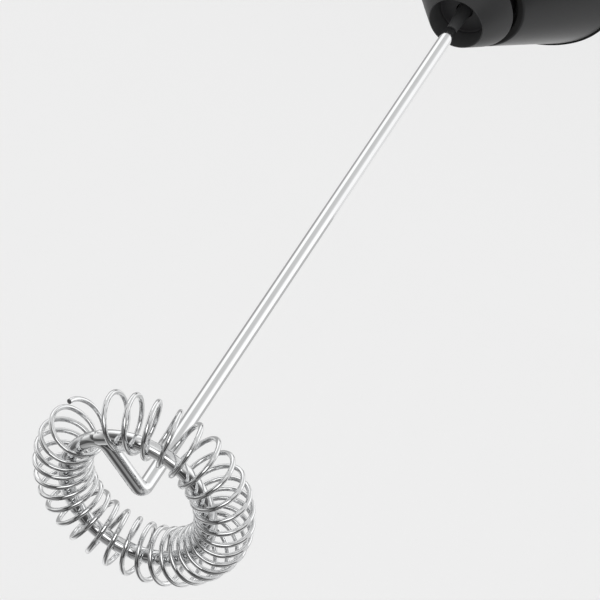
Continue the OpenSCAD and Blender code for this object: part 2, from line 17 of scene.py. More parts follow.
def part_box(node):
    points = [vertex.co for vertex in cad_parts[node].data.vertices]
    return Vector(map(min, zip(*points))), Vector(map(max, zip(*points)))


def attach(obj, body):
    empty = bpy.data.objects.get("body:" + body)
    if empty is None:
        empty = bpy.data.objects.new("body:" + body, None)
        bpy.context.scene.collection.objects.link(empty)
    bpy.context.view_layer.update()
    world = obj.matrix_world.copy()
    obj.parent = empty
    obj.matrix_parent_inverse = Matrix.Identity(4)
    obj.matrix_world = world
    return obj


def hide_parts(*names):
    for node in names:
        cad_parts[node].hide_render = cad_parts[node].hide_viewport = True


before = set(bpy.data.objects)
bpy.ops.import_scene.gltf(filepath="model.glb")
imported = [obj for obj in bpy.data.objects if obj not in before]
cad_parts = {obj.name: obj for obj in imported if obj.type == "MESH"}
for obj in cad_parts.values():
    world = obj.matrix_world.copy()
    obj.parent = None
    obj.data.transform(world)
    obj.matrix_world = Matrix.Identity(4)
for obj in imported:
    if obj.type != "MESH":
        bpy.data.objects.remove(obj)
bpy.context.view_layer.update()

# %% [markdown]
# ## Driving sizes
# All sizes are in millimetres and are turned to metres once, when a mesh is made. Heights that
# the frame already knows are read from it, so that a piece can't drift from the solid that it
# stands for. The few others are the maker's own sizes: wire gauges and radii.

# %% Sizes
MM = 0.001


def low(node, axis):
    """Lowest coordinate of a node of the frame, in millimetres."""
    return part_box(node)[0][axis] / MM


def high(node, axis):
    """Highest coordinate of a node of the frame, in millimetres."""
    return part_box(node)[1][axis] / MM


def link(name, data):
    """Sets a new object into the scene."""
    thing = bpy.data.objects.new(name, data)
    bpy.context.scene.collection.objects.link(thing)
    return thing


WIRE_R = 0.9                                   # whisk wire
RING_R = high("whisk_wire", 0) - WIRE_R        # middle of the ring's wire
RING_Z = high("whisk_wire", 2) - WIRE_R
BEND_Z = RING_Z - 1.2                          # where shaft and leg meet
LEG_AT = 320.0                                 # direction of the leg, in degrees from +X
CORNER_TURN = 10.0                             # ring covered by the corner
RING_ARC = 364.0                               # the ring ends in a weld at the corner
MOUTH_Z = high("nose_cap", 2)
BAND_Z, COVER_Z = low("seal_ring", 2), high("seal_ring", 2)
print("ring radius", round(RING_R, 2), "ring height", round(RING_Z, 2), "mouth", round(MOUTH_Z, 2))

# %% [markdown]
# ## Camera
# The camera looks down at the tip of the whisk from the front, over a long lens, and is rolled
# so that the shaft runs from the lower left to the upper right. It is set up as on a tripod: the
# point it looks at, the distance, the height angle and the roll.

# %% Make the camera
AIM = Vector((-2.97, 0.0, 161.85)) * MM
DISTANCE = 361.0 * MM
ELEVATION = math.radians(42.8)
ROLL = math.radians(213.41)
LENS, FILM = 179.1, 36.0


def make_camera():
    forward = Vector((0, math.cos(ELEVATION), -math.sin(ELEVATION)))
    level = Vector((1, 0, 0))
    upright = level.cross(forward)
    right = level * math.cos(ROLL) + upright * math.sin(ROLL)
    up = right.cross(forward)
    data = bpy.data.cameras.new("camera")
    data.lens, data.sensor_width = LENS, FILM
    data.clip_start, data.clip_end = 0.01, 10.0
    camera = link("camera", data)
    turn = Matrix((right, up, -forward)).transposed()
    camera.matrix_world = Matrix.Translation(AIM - forward * DISTANCE) @ turn.to_4x4()
    bpy.context.scene.camera = camera
    return camera


camera = make_camera()
print("camera at", [round(v / MM, 1) for v in camera.location], "mm")

# %% [markdown]
# ## Finishes
# A finish is a small node tree. Each one starts from the Principled shader with its constants
# set on the shader itself, and adds the fine detail that the real surface shows: drawn lines on
# wire, the spark-eroded grain of a moulding, or dust-like variation of the gloss.

# %% Helpers for node trees
def feed(node, inputs):
    """Gives each input a value, or a link when the value is the output of another node."""
    for key, value in inputs.items():
        if isinstance(value, bpy.types.NodeSocket):
            node.id_data.links.new(value, node.inputs[key])
        else:
            node.inputs[key].default_value = value


def add(tree, kind, inputs=None, **settings):
    """A new node of the given kind, with its properties and inputs set."""
    node = tree.nodes.new(kind)
    for key, value in settings.items():
        setattr(node, key, value)
    feed(node, inputs or {})
    return node


def new_finish(name, color, metallic=0.0, roughness=0.5, **sockets):
    """A material with one Principled shader. Other sockets are given by their names."""
    finish = bpy.data.materials.new(name)
    finish.use_nodes = True
    shader = finish.node_tree.nodes["Principled BSDF"]
    feed(shader, {"Base Color": (*color, 1), "Metallic": metallic, "Roughness": roughness})
    feed(shader, {socket.replace("_", " "): value for socket, value in sockets.items()})
    return finish, finish.node_tree, shader


def noise(tree, source, scale, stretch=(1, 1, 1), detail=2.0):
    """Noise whose pattern is stretched along the axes of the chosen coordinates."""
    where = add(tree, "ShaderNodeTexCoord").outputs[source]
    place = add(tree, "ShaderNodeMapping", {"Vector": where, "Scale": stretch}).outputs["Vector"]
    return add(tree, "ShaderNodeTexNoise",
               {"Vector": place, "Scale": scale, "Detail": detail}).outputs["Fac"]


def spread(tree, value, low_value, high_value):
    """Maps 0.35..0.65 of a pattern to the given range."""
    return add(tree, "ShaderNodeMapRange", {"Value": value, "From Min": 0.35, "From Max": 0.65,
                                            "To Min": low_value, "To Max": high_value}).outputs["Result"]


def bump(tree, shader, height, distance, strength):
    """Relief on the surface, its depth in metres."""
    relief = add(tree, "ShaderNodeBump", {"Height": height, "Distance": distance, "Strength": strength})
    feed(shader, {"Normal": relief.outputs["Normal"]})


def tint(tree, shader, value, dark, light):
    """Colour that runs from dark to light with a pattern."""
    mix = add(tree, "ShaderNodeMix", data_type="RGBA")
    feed(mix, {"Factor": value, "A": (*dark, 1), "B": (*light, 1)})
    feed(shader, {"Base Color": mix.outputs["Result"]})


# %% [markdown]
# Drawn wire is pulled through a die, so its fine scratches run along its length. The whisk wire's
# own UV map knows that direction: u goes round the wire and v runs along it in metres. The
# spring's wire is so thin that only the fine grain of its surface matters.

# %% Steel finishes
def drawn_steel(name, color, roughness, source, stretch):
    """Bright wire: a smooth gloss with faint lines in the chosen coordinates."""
    finish, tree, shader = new_finish(name, color, 1.0, roughness)
    lines = noise(tree, source, 1.0, stretch, 3.0)
    feed(shader, {"Roughness": spread(tree, lines, roughness * 0.7, roughness * 1.4)})
    bump(tree, shader, lines, 0.00001, 0.08)
    tint(tree, shader, noise(tree, "Object", 260.0), [c * 0.93 for c in color], color)
    return finish


def turned_metal(name, color, roughness):
    """Machined or rolled metal, with a grain that is finer along the tool."""
    finish, tree, shader = new_finish(name, color, 1.0, roughness)
    grain = noise(tree, "Object", 400.0, (1, 1, 12), 3.0)
    feed(shader, {"Roughness": spread(tree, grain, roughness * 0.75, roughness * 1.3)})
    tint(tree, shader, noise(tree, "Object", 900.0), [c * 0.85 for c in color], color)
    bump(tree, shader, grain, 0.00002, 0.3)
    return finish


whisk_steel = drawn_steel("whisk_steel", (0.80, 0.805, 0.81), 0.06, "UV", (60, 300, 1))
spring_steel = drawn_steel("spring_steel", (0.82, 0.825, 0.83), 0.05, "Object", (2500, 2500, 2500))
shaft_steel = turned_metal("shaft_steel", (0.62, 0.63, 0.64), 0.2)
zinc = turned_metal("zinc", (0.55, 0.56, 0.57), 0.3)
iron = turned_metal("iron", (0.14, 0.14, 0.15), 0.5)
copper = turned_metal("copper", (0.70, 0.30, 0.14), 0.28)
brass = turned_metal("brass", (0.75, 0.55, 0.25), 0.25)

# %% [markdown]
# The handle is a dark grey moulding. A mould for such parts is spark-eroded, which leaves an
# even, very fine grain. It breaks up the reflections, so that the surface looks softly matt.

# %% Moulded finishes
def moulding(name, dark, light, roughness, grain=9000.0, **sockets):
    """Moulded plastic or rubber: a fine eroded grain under broad, faint changes of tone."""
    finish, tree, shader = new_finish(name, light, 0.0, roughness, **sockets)
    fine = noise(tree, "Object", grain)
    broad = noise(tree, "Object", 90.0, detail=3.0)
    tint(tree, shader, spread(tree, broad, 0.0, 1.0), dark, light)
    feed(shader, {"Roughness": spread(tree, broad, roughness * 0.92, roughness * 1.1)})
    bump(tree, shader, fine, 0.00002, 0.35)
    return finish


body_plastic = moulding("body_plastic", (0.015, 0.0153, 0.016), (0.019, 0.0193, 0.020), 0.36,
                        IOR=1.38, Sheen_Weight=0.3, Sheen_Roughness=0.3)
# The nose is the body's own plastic with a lighter base colour and less sheen: the lighter colour is
# painted light on the nose.
nose_painted_light = moulding("nose_painted_light", (0.026, 0.0263, 0.027), (0.030, 0.0303, 0.031), 0.42,
                        IOR=1.38, Sheen_Weight=0.1, Sheen_Roughness=0.3)
# Lighter copy of the dark plastic for the mouth's inner wall: painted light that lifts the shade inside the
# cavity.
mouth_painted_light = moulding("mouth_painted_light", (0.045, 0.046, 0.047), (0.050, 0.051, 0.052), 0.7)
# Lighter copy of the black plastic for the coupling's sleeve, which sits in the mouth's shade: painted
# light.
sleeve_painted_light = moulding("sleeve_painted_light", (0.044, 0.045, 0.046), (0.050, 0.051, 0.052), 0.5)
# Black plastic: the switch case's own colour, and painted shade on the nose's mouth floor, bore and spigot.
black_plastic = moulding("black_plastic", (0.018, 0.018, 0.019), (0.023, 0.023, 0.024), 0.38)
# Near-black finish for the collar's top and slot: painted shade in the groove under the nose.
groove_painted_shade = moulding("groove_painted_shade", (0.008, 0.008, 0.008), (0.012, 0.012, 0.012), 0.6,
                          5000.0, IOR=1.3)
frame_plastic = moulding("frame_plastic", (0.42, 0.42, 0.40), (0.48, 0.48, 0.46), 0.5)
white_plastic = moulding("white_plastic", (0.72, 0.72, 0.68), (0.80, 0.80, 0.76), 0.45)
button_plastic = moulding("button_plastic", (0.30, 0.305, 0.31), (0.34, 0.345, 0.35), 0.32)
black_rubber = moulding("black_rubber", (0.006, 0.006, 0.006), (0.009, 0.009, 0.009), 0.62, 5000.0,
                        IOR=1.25)
lead_black = moulding("lead_black", (0.015, 0.015, 0.015), (0.022, 0.022, 0.022), 0.45)
lead_red = moulding("lead_red", (0.42, 0.025, 0.02), (0.50, 0.035, 0.03), 0.42)
cell_wrap = moulding("cell_wrap", (0.085, 0.10, 0.125), (0.10, 0.115, 0.14), 0.3, 3000.0)
print("finishes:", len(bpy.data.materials))

# %% [markdown]
# ## Skins from rings
# Nearly every piece of this tool is a row of rings: circles round an axis, ovals that change
# along the handle, or small circles that follow a bent wire. One helper joins such rings into a
# mesh with quads, closes its ends and shades it smooth, with sharp edges kept by angle.

# %% Helpers for meshes
SHARP = 40.0                 # edges that turn by more degrees than this stay sharp


def finish_mesh(name, mesh, finish, sharp=SHARP):
    """Links a mesh as a piece at the origin, smooth but for edges sharper than an angle."""
    mesh.polygons.foreach_set("use_smooth", [True] * len(mesh.polygons))
    mesh.set_sharp_from_angle(angle=math.radians(sharp))
    mesh.materials.clear()
    mesh.materials.append(finish)
    return link(name, mesh)


def skin(name, rings, finish, closed=False, uv_length=None, sharp=SHARP):
    """Piece through rings of points in millimetres, each anticlockwise seen from the way ahead."""
    sides, count = len(rings[0]), len(rings)
    grid = bmesh.new()
    rows = [[grid.verts.new(Vector(p) * MM) for p in ring] for ring in rings]
    uv = grid.loops.layers.uv.new("UVMap")
    for i in range(count if closed else count - 1):
        j = (i + 1) % count
        for k in range(sides):
            m = (k + 1) % sides
            face = grid.faces.new((rows[i][k], rows[i][m], rows[j][m], rows[j][k]))
            if uv_length:
                for loop, (u, v) in zip(face.loops, ((k, i), (k + 1, i), (k + 1, i + 1), (k, i + 1))):
                    loop[uv].uv = (u / sides, uv_length[min(v, count - 1)] * MM)
    if not closed:
        grid.faces.new(list(reversed(rows[0])))
        grid.faces.new(rows[-1])
    bmesh.ops.remove_doubles(grid, verts=grid.verts, dist=1e-7)
    mesh = bpy.data.meshes.new(name)
    grid.to_mesh(mesh)
    grid.free()
    return finish_mesh(name, mesh, finish, sharp)


# %% Outlines and level rings
def rounded(points, radius, steps=5, closed=True):
    """The same outline with each corner replaced by a short curve. Radius may be a list."""
    count, made = len(points), []
    for i, point in enumerate(points):
        r = radius[i] if isinstance(radius, (list, tuple)) else radius
        p = Vector(point)
        if r <= 0 or (not closed and i in (0, count - 1)):
            made.append(p)
            continue
        before = Vector(points[i - 1]) - p
        after = Vector(points[(i + 1) % count]) - p
        reach = min(r, before.length * 0.45, after.length * 0.45)
        a, b = p + before.normalized() * reach, p + after.normalized() * reach
        for s in range(steps + 1):
            t = s / steps
            made.append(a * (1 - t) ** 2 + p * 2 * t * (1 - t) + b * t ** 2)
    return made


def oval(w, t, z, sides=160, x=0.0, y=0.0):
    """Level ring with a half width and a half thickness, round the axis at x, y."""
    return [(x + w * math.cos(2 * math.pi * k / sides), y + t * math.sin(2 * math.pi * k / sides), z)
            for k in range(sides)]


def circle(r, z, sides, x=0.0, y=0.0):
    return oval(r, r, z, sides, x, y)


def plate_ring(size, corner, inset, z, at=(0, 0), step=15):
    """Level ring with round corners, smaller all round by the inset. Size is half widths."""
    w, d, r = size[0] - inset, size[1] - inset, corner - inset
    return [(at[0] + sx * (w - r) + r * math.cos(turn), at[1] + sy * (d - r) + r * math.sin(turn), z)
            for sx, sy, start in ((1, 1, 0), (-1, 1, 90), (-1, -1, 180), (1, -1, 270))
            for turn in (math.radians(start + k) for k in range(0, 91, step))]


def lathe(name, profile, finish, sides, closed=True, x=0.0, y=0.0):
    """Turned piece round the axis at x, y. Points are (radius, height), outside going up."""
    return skin(name, [circle(max(r, 1e-5), z, sides, x, y) for r, z in profile], finish, closed)


# %% Paint some faces, and dress pieces for the frame
def paint(piece, finish, is_here, axis_x=0.0):
    """Gives a second finish to the faces of a round piece for which is_here(radius, height) holds."""
    mesh = piece.data
    mesh.materials.append(finish)
    for face in mesh.polygons:
        x, y, z = face.center / MM
        if is_here(math.hypot(x - axis_x, y), z):
            face.material_index = len(mesh.materials) - 1


def dress(rows):
    """Each piece stands for a node, whose solid it hides, and rides on a body. The slot is not used."""
    for piece, node, body, slot in rows:
        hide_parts(node)
        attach(piece, body)
        print(piece.name, "has", len(piece.data.polygons), "faces")


# %% Helper for Booleans
def cut(piece, cutter, operation, folded=False):
    """Applies a Boolean and removes its tool. A folded piece runs into itself."""
    modifier = piece.modifiers.new("cut", "BOOLEAN")
    modifier.object, modifier.operation, modifier.solver = cutter, operation, "EXACT"
    modifier.use_self = folded
    depsgraph = bpy.context.evaluated_depsgraph_get()
    mesh = bpy.data.meshes.new_from_object(piece.evaluated_get(depsgraph))
    piece.modifiers.clear()
    old, piece.data = piece.data, mesh
    mesh.name = old.name
    mesh.set_sharp_from_angle(angle=math.radians(SHARP))
    bpy.data.objects.remove(cutter)
    return piece


# %% [markdown]
# ## The bent wire
# Shaft, leg and ring are one length of drawn wire, bent twice, and the ring's end is welded to
# the corner. The mesh follows that: a path is laid from the end inside the coupling, round both
# bends and along the ring, and a circle is carried along it without twisting. A Boolean then
# joins it with a small bead of weld, which also melts the ring's end into the corner.

# %% Follow a path with a circle
def polar(r, angle, z):
    a = math.radians(angle)
    return Vector((r * math.cos(a), r * math.sin(a), z))


def bend(corner, way_in, way_out, reach, steps=14):
    """Points of the arc that turns from one direction to the other within reach of a corner."""
    turn = way_in.angle(way_out)
    radius = reach / math.tan(turn / 2)
    centre = corner + (way_out - way_in).normalized() * radius / math.cos(turn / 2)
    start = corner - way_in * reach - centre
    axis = way_in.cross(way_out).normalized()
    return [centre + Matrix.Rotation(turn * s / steps, 3, axis) @ start for s in range(steps + 1)]


def follow(path, radii, sides=40):
    """Rings round a path, turned as little as possible from one to the next, and path lengths."""
    count = len(path)
    ways = [(path[min(i + 1, count - 1)] - path[max(i - 1, 0)]).normalized() for i in range(count)]
    out = ways[0].orthogonal().normalized()
    rings, lengths = [], [0.0]
    for i, (point, way) in enumerate(zip(path, ways)):
        if i:
            out = ways[i - 1].rotation_difference(way) @ out
            out = (out - way * out.dot(way)).normalized()
            lengths.append(lengths[-1] + (point - path[i - 1]).length)
        other = way.cross(out)
        rings.append([point + (out * math.cos(2 * math.pi * k / sides)
                               + other * math.sin(2 * math.pi * k / sides)) * radii[i]
                      for k in range(sides)])
    return rings, lengths


# %% Make the whisk wire
TIP_R, TIP_TAPER, STUB_R = 0.70, 0.9, 0.45
TIP_Z = MOUTH_Z + 1.65
SHAFT_BEND = 1.1
WELD_R, WELD_OUT, WELD_TURN = 0.55, 0.42, 1.0
TAPER_STEPS, SHAFT_STEPS, LEG_STEPS, RING_STEPS = 8, 24, 6, 168
CUT_EDGE = 0.05              # the cutter leaves the wire's end a little smaller


def make_whisk_wire():
    ring_start = LEG_AT + CORNER_TURN
    corner_reach = RING_R * math.tan(math.radians(CORNER_TURN))
    tangent = polar(1, ring_start + 90, 0)
    corner = polar(RING_R, ring_start, RING_Z) - tangent * corner_reach
    top = Vector((0, 0, BEND_Z))
    leg = (corner - top).normalized()
    up = Vector((0, 0, 1))
    path = [Vector((0, 0, z)) for z in (low("whisk_wire", 2), TIP_Z, TIP_Z + 0.01)]
    radii = [STUB_R, STUB_R, TIP_R - 0.08]
    for k in range(1, TAPER_STEPS + 1):
        share = k / TAPER_STEPS
        path.append(Vector((0, 0, TIP_Z + TIP_TAPER * share)))
        radii.append(TIP_R + (WIRE_R - TIP_R) * math.sin(math.pi / 2 * share))
    taper_top, shaft_top = path[-1], top - up * SHAFT_BEND
    path += [taper_top.lerp(shaft_top, k / SHAFT_STEPS) for k in range(1, SHAFT_STEPS)]
    path += bend(top, up, leg, SHAFT_BEND)
    leg_start, leg_end = path[-1], corner - leg * corner_reach
    path += [leg_start.lerp(leg_end, k / LEG_STEPS) for k in range(1, LEG_STEPS)]
    path += bend(corner, leg, tangent, corner_reach)
    step = (RING_ARC - CORNER_TURN) / RING_STEPS
    path += [polar(RING_R, ring_start + step * k, RING_Z) for k in range(1, RING_STEPS + 1)]
    radii += [WIRE_R] * (len(path) - len(radii))
    radii[-1] = WIRE_R - CUT_EDGE
    rings, lengths = follow(path, radii)
    print("whisk wire:", round(lengths[-1], 1), "mm of wire,", len(rings), "rings")
    wire = skin("whisk_wire_bent", rings, whisk_steel, uv_length=lengths, sharp=50)
    at = polar(RING_R + WELD_OUT, LEG_AT + WELD_TURN, RING_Z)
    bead = [[at + Vector(p) for p in circle(WELD_R * math.cos(a), WELD_R * math.sin(a), 16)]
            for a in (math.radians(25 * k) for k in range(-3, 4))]
    return cut(wire, skin("weld_bead", bead, whisk_steel), "UNION", folded=True)


dress([(make_whisk_wire(), "whisk_wire", "whisk_drive", "whisk_steel")])

# %% [markdown]
# ## The coil spring
# The spring froths the milk. It is a plain coil whose axis is bent round the ring, so each point
# of its wire follows a rule: one angle goes round the ring while another goes round the loop.
# Geometry Nodes suit such a rule. A line of points is moved by the two angles, a small circle is
# swept along it, and the turns sit a little closer in two places, as on a spring threaded by hand.

# %% Helpers for geometry trees
def calc(tree, operation, *values):
    """A math node whose inputs are numbers or sockets."""
    return add(tree, "ShaderNodeMath", dict(enumerate(values)), operation=operation).outputs[0]


def start_tree(name, sizes, shape=False):
    """New tree with an input for each size, and for a mesh if it has to repeat one."""
    tree = bpy.data.node_groups.new(name, "GeometryNodeTree")
    tree.interface.new_socket("Geometry", in_out="OUTPUT", socket_type="NodeSocketGeometry")
    if shape:
        tree.interface.new_socket("Shape", in_out="INPUT", socket_type="NodeSocketGeometry")
    kinds = {int: "NodeSocketInt", float: "NodeSocketFloat", tuple: "NodeSocketVector"}
    for size_name, size in sizes.items():
        socket = tree.interface.new_socket(size_name, in_out="INPUT", socket_type=kinds[type(size)])
        socket.default_value = size
    return tree, add(tree, "NodeGroupInput").outputs


def sweep(tree, curve, radius, sides):
    """Wire along a curve: a circle of that radius is swept along it."""
    section = add(tree, "GeometryNodeCurvePrimitiveCircle", {"Resolution": sides, "Radius": radius})
    swept = add(tree, "GeometryNodeCurveToMesh", {"Curve": curve, "Fill Caps": True,
                                                  "Profile Curve": section.outputs["Curve"]})
    return swept.outputs["Mesh"]


def end_tree(tree, made, finish):
    """Every tree ends the same way: real geometry with its finish."""
    real = add(tree, "GeometryNodeRealizeInstances", {"Geometry": made}).outputs["Geometry"]
    painted = add(tree, "GeometryNodeSetMaterial", {"Geometry": real, "Material": finish})
    add(tree, "NodeGroupOutput", {0: painted.outputs["Geometry"]})
    return tree


# %% Build the spring's node tree
SPRING_SIZES = {                # metres and degrees
    "Loop Radius": 3.2 * MM,    # middle of the spring's wire
    "Coil Radius": 10.1 * MM,   # middle of the loops, from the spin axis
    "Height": (RING_Z - 1.58) * MM,
    "Wire Radius": 0.3 * MM,
    "Start": LEG_AT - 4.2,
    "Arc": 337.6,
    "Turn Rate": 33.8,          # degrees round the loop for each degree round the ring
    "Turn Phase": 99.6,
    "End From": 320.6,          # the last turn leans from here on
    "End Over": 7.8,
    "End Lag": 3.5,
    "Once Round": -70.0,        # the turns run ahead and fall back, once and twice round the ring
    "Once From": 10.0,
    "Twice Round": 118.0,
    "Twice From": 15.0,
    "Points": 1500,
}


def spring_tree(finish):
    tree, given = start_tree("coil_spring", SPRING_SIZES)

    def value(operation, *values):
        return calc(tree, operation, *values)

    line = add(tree, "GeometryNodeCurvePrimitiveLine").outputs["Curve"]
    beads = add(tree, "GeometryNodeResampleCurve", {"Curve": line, "Count": given["Points"]})
    index = add(tree, "GeometryNodeInputIndex").outputs[0]
    last = value("SUBTRACT", given["Points"], 1.0)
    along = value("MULTIPLY", value("DIVIDE", index, last), given["Arc"])
    end_to = value("ADD", given["End From"], given["End Over"])
    ending = add(tree, "ShaderNodeMapRange", {"Value": along, "From Min": given["End From"],
                                              "From Max": end_to, "To Max": given["End Lag"]},
                 interpolation_type="SMOOTHSTEP")
    led = value("SUBTRACT", along, ending.outputs["Result"])
    once = value("SINE", value("RADIANS", value("ADD", led, given["Once From"])))
    twice = value("COSINE", value("RADIANS", value("MULTIPLY_ADD", led, 2.0, given["Twice From"])))
    turned = value("MULTIPLY_ADD", led, given["Turn Rate"], given["Turn Phase"])
    turned = value("MULTIPLY_ADD", once, given["Once Round"], turned)
    turned = value("RADIANS", value("MULTIPLY_ADD", twice, given["Twice Round"], turned))
    radius = value("MULTIPLY_ADD", value("COSINE", turned), given["Loop Radius"], given["Coil Radius"])
    height = value("MULTIPLY_ADD", value("SINE", turned), given["Loop Radius"], given["Height"])
    round_ring = value("RADIANS", value("SUBTRACT", given["Start"], along))
    place = add(tree, "ShaderNodeCombineXYZ", {"X": value("MULTIPLY", value("COSINE", round_ring), radius),
                                               "Y": value("MULTIPLY", value("SINE", round_ring), radius),
                                               "Z": height}).outputs["Vector"]
    moved = add(tree, "GeometryNodeSetPosition", {"Geometry": beads.outputs["Curve"], "Position": place})
    return end_tree(tree, sweep(tree, moved.outputs["Geometry"], given["Wire Radius"], 14), finish)


# %% Run a tree and keep its mesh
def grow(name, tree, finish, sizes, start=None):
    """Plain mesh made by a tree. Sizes are set by the sockets' identifiers."""
    seed = link("seed", start or bpy.data.meshes.new("seed"))
    modifier = seed.modifiers.new("grow", "NODES")
    modifier.node_group = tree
    for item in tree.interface.items_tree:
        if item.in_out == "INPUT" and item.name in sizes:
            modifier[item.identifier] = sizes[item.name]
    depsgraph = bpy.context.evaluated_depsgraph_get()
    mesh = bpy.data.meshes.new_from_object(seed.evaluated_get(depsgraph))
    bpy.data.objects.remove(seed)
    mesh.name = name
    return finish_mesh(name, mesh, finish)


whisk_spring = grow("whisk_spring_coil", spring_tree(spring_steel), spring_steel, SPRING_SIZES)
dress([(whisk_spring, "whisk_spring", "whisk_drive", "spring_steel")])

# %% [markdown]
# ## Coupling and nose
# The coupling is a small turned sleeve that joins the wire to the motor's shaft. Its tip shows in
# the mouth of the nose. The nose is a short cone with a spigot below, pushed into the collar of
# the front cover so that an open groove stays between them. Both are turned shapes, so each is a
# profile carried round the axis, with small rounds at the edges that catch the light.

# %% Make the coupling and the nose
NOSE_BASE_Z = MOUTH_Z - 4.3
NOSE_BASE_R = high("nose_cap", 0)
MOUTH_R, MOUTH_DEPTH, MOUTH_TAPER, LIP_T = 3.9, 3.2, 0.3, 0.12
SPIGOT_R, SPIGOT_WALL, WEB_T, HOLE_R = 5.7, 0.9, 1.0, 1.16
SLEEVE_R, SLEEVE_LENGTH, NECK_R, NECK_LOW = 2.5, 5.2, 1.05, 1.3


def make_coupling():
    foot = low("drive_coupling", 2)
    bore = STUB_R + 0.01
    profile = [(bore, foot), (SLEEVE_R, foot), (SLEEVE_R, foot + SLEEVE_LENGTH),
               (NECK_R, MOUTH_Z - MOUTH_DEPTH - NECK_LOW), (TIP_R + 0.02, TIP_Z), (bore, TIP_Z)]
    # The sleeve takes a lighter copy of the black plastic: painted light in the shade of the mouth.
    return lathe("coupling_sleeve", rounded(profile, [0.1, 0.2, 0.4, 0.5, 0.1, 0.03]),
                 sleeve_painted_light, 64)


def make_nose():
    web, spigot = MOUTH_Z - MOUTH_DEPTH, low("nose_cap", 2)
    lip, bore = MOUTH_R - LIP_T, SPIGOT_R - SPIGOT_WALL
    profile = [(MOUTH_R, MOUTH_Z), (lip, MOUTH_Z), (lip - MOUTH_TAPER, web),
               (HOLE_R, web), (HOLE_R, web - WEB_T), (bore, web - WEB_T), (bore, spigot),
               (SPIGOT_R, spigot), (SPIGOT_R, NOSE_BASE_Z), (NOSE_BASE_R, NOSE_BASE_Z)]
    rounds = [0.05, 0.05, 0.3, 0.04, 0.04, 0.3, 0.1, 0.2, 0.15, 0.12]
    # The whole cone takes the lighter nose finish, which is painted light.
    nose = lathe("nose_cone", rounded(profile, rounds), nose_painted_light, 160)
    edge = web + 0.35                    # just above the round where wall and web meet
    # The mouth's inner wall is painted lighter: painted light against the shade of the cavity.
    paint(nose, mouth_painted_light, lambda r, z: r < MOUTH_R - LIP_T / 2 and z > edge)
    # The mouth's floor, the bore and the spigot take the black plastic: painted shade deep in the mouth and
    # in the groove.
    paint(nose, black_plastic, lambda r, z: r < SPIGOT_R + 0.3 and z <= edge)
    return nose


dress([(make_coupling(), "drive_coupling", "whisk_drive", "black_plastic"),
       (make_nose(), "nose_cap", "handle", "body_plastic")])

# %% [markdown]
# ## The handle's shells
# The handle is an oval moulding. Its half width follows a full belly with a rounded foot, its
# thickness is a fixed share of the width, and near the top an oval cone narrows to the round
# collar. Front cover, band and body are lofts through ovals. Openings are cut with a Boolean,
# because the cover and the button's hole have to follow the same curved wall.

# %% The handle's outline
HALF_W = (high("body_shell", 0) - low("body_shell", 0)) / 2
FLAT = 0.8                   # thickness as a share of the width
WALL = 1.8
FOOT_Z, FLOOR_Z = low("body_shell", 2), 2.3
FOOT_ROUND, FOOT_INSET, FOOT_EDGE = 5.5, 3.6, 2.5
FOOT_STEPS, WALL_STEPS = 14, 30
BELLY_Z, SLIM_LOW, SLIM_HIGH = 66.0, 0.075, 0.07   # widest height, and how much slimmer the ends are
COLLAR_Z, COLLAR_R = NOSE_BASE_Z - 1.6, 7.3
SLOT_R, SLOT_DEPTH = 6.6, 1.6
CONE_W = HALF_W - 1.3
LIP_R = 0.5
LIP_SLOPE = math.radians(37)


def body_w(z):
    if z < BELLY_Z:
        slim = SLIM_LOW * ((BELLY_Z - z) / BELLY_Z) ** 2
    else:
        slim = SLIM_HIGH * ((z - BELLY_Z) / (COVER_Z - BELLY_Z)) ** 2
    foot = 0.0
    if z < FOOT_ROUND:
        foot = FOOT_INSET * (1 - math.sqrt(1 - ((FOOT_ROUND - z) / (FOOT_ROUND - FOOT_Z)) ** 2))
    return HALF_W * (1 - slim) - foot


def body_t(z):
    return body_w(z) * FLAT


def even(r, z=0.0):
    """Station of a round ring: the same half width and half thickness."""
    return Vector((r, r, z))


def station(z, inset=0.0):
    """Half width, half thickness and height of the handle's oval, smaller by the inset."""
    return Vector((body_w(z), body_t(z), z)) - even(inset)


def ovals(stations, sides=160):
    return [oval(w, t, z, sides) for w, t, z in stations]


# %% Make the front cover and the band
PRESS_PLAY, SPIGOT_PLAY = 0.1, 0.05  # between pieces that are pushed into each other
SKIRT_T, COLLAR_DEPTH = 1.4, 4.4
CONE_STEPS, LIP_STEPS = 12, 7
BAND_PROUD, BAND_LIP = 0.15, 0.38    # how far the band stands out at its foot and at the cone


def make_front_cover():
    def lip(turn):
        return even(COLLAR_R + LIP_R * math.cos(turn), COLLAR_Z - LIP_R * (1 - math.sin(turn)))
    base, cone_end = Vector((CONE_W, CONE_W * FLAT, COVER_Z)), lip(LIP_SLOPE)
    outside = [base.lerp(cone_end, k / CONE_STEPS) for k in range(CONE_STEPS + 1)]
    outside += [lip(LIP_SLOPE + (math.pi / 2 - LIP_SLOPE) * k / LIP_STEPS) for k in range(1, LIP_STEPS + 1)]
    bore, slot_z = SPIGOT_R + SPIGOT_PLAY, COLLAR_Z - SLOT_DEPTH
    skirt = station(BAND_Z, WALL + PRESS_PLAY) - even(0, BAND_Z)
    hollow = skirt - even(SKIRT_T)
    foot, top = even(0, low("front_cover", 2)), even(0, COVER_Z)
    inside = [even(SLOT_R, COLLAR_Z), even(SLOT_R, slot_z), even(bore, slot_z),
              even(bore, COLLAR_Z - COLLAR_DEPTH)]
    inside += [base.lerp(cone_end, share) - even(WALL) for share in (0.62, 0.1)]
    inside += [hollow + top - even(0, 1), hollow + foot, skirt + foot, skirt + top]
    rounds = [0.1] + [0] * (len(outside) - 1) + [0.1, 0.1, 0.1, 0.3, 0.3, 0.3, 0.2, 0.2, 0.2, 0.1]
    cover = skin("front_cover_cone", ovals(rounded(outside + inside, rounds)), body_plastic, True)
    # The collar's top and slot are painted near black: painted shade in the groove between nose and cover.
    paint(cover, groove_painted_shade, lambda r, z: r < COLLAR_R + 0.05)
    return cover


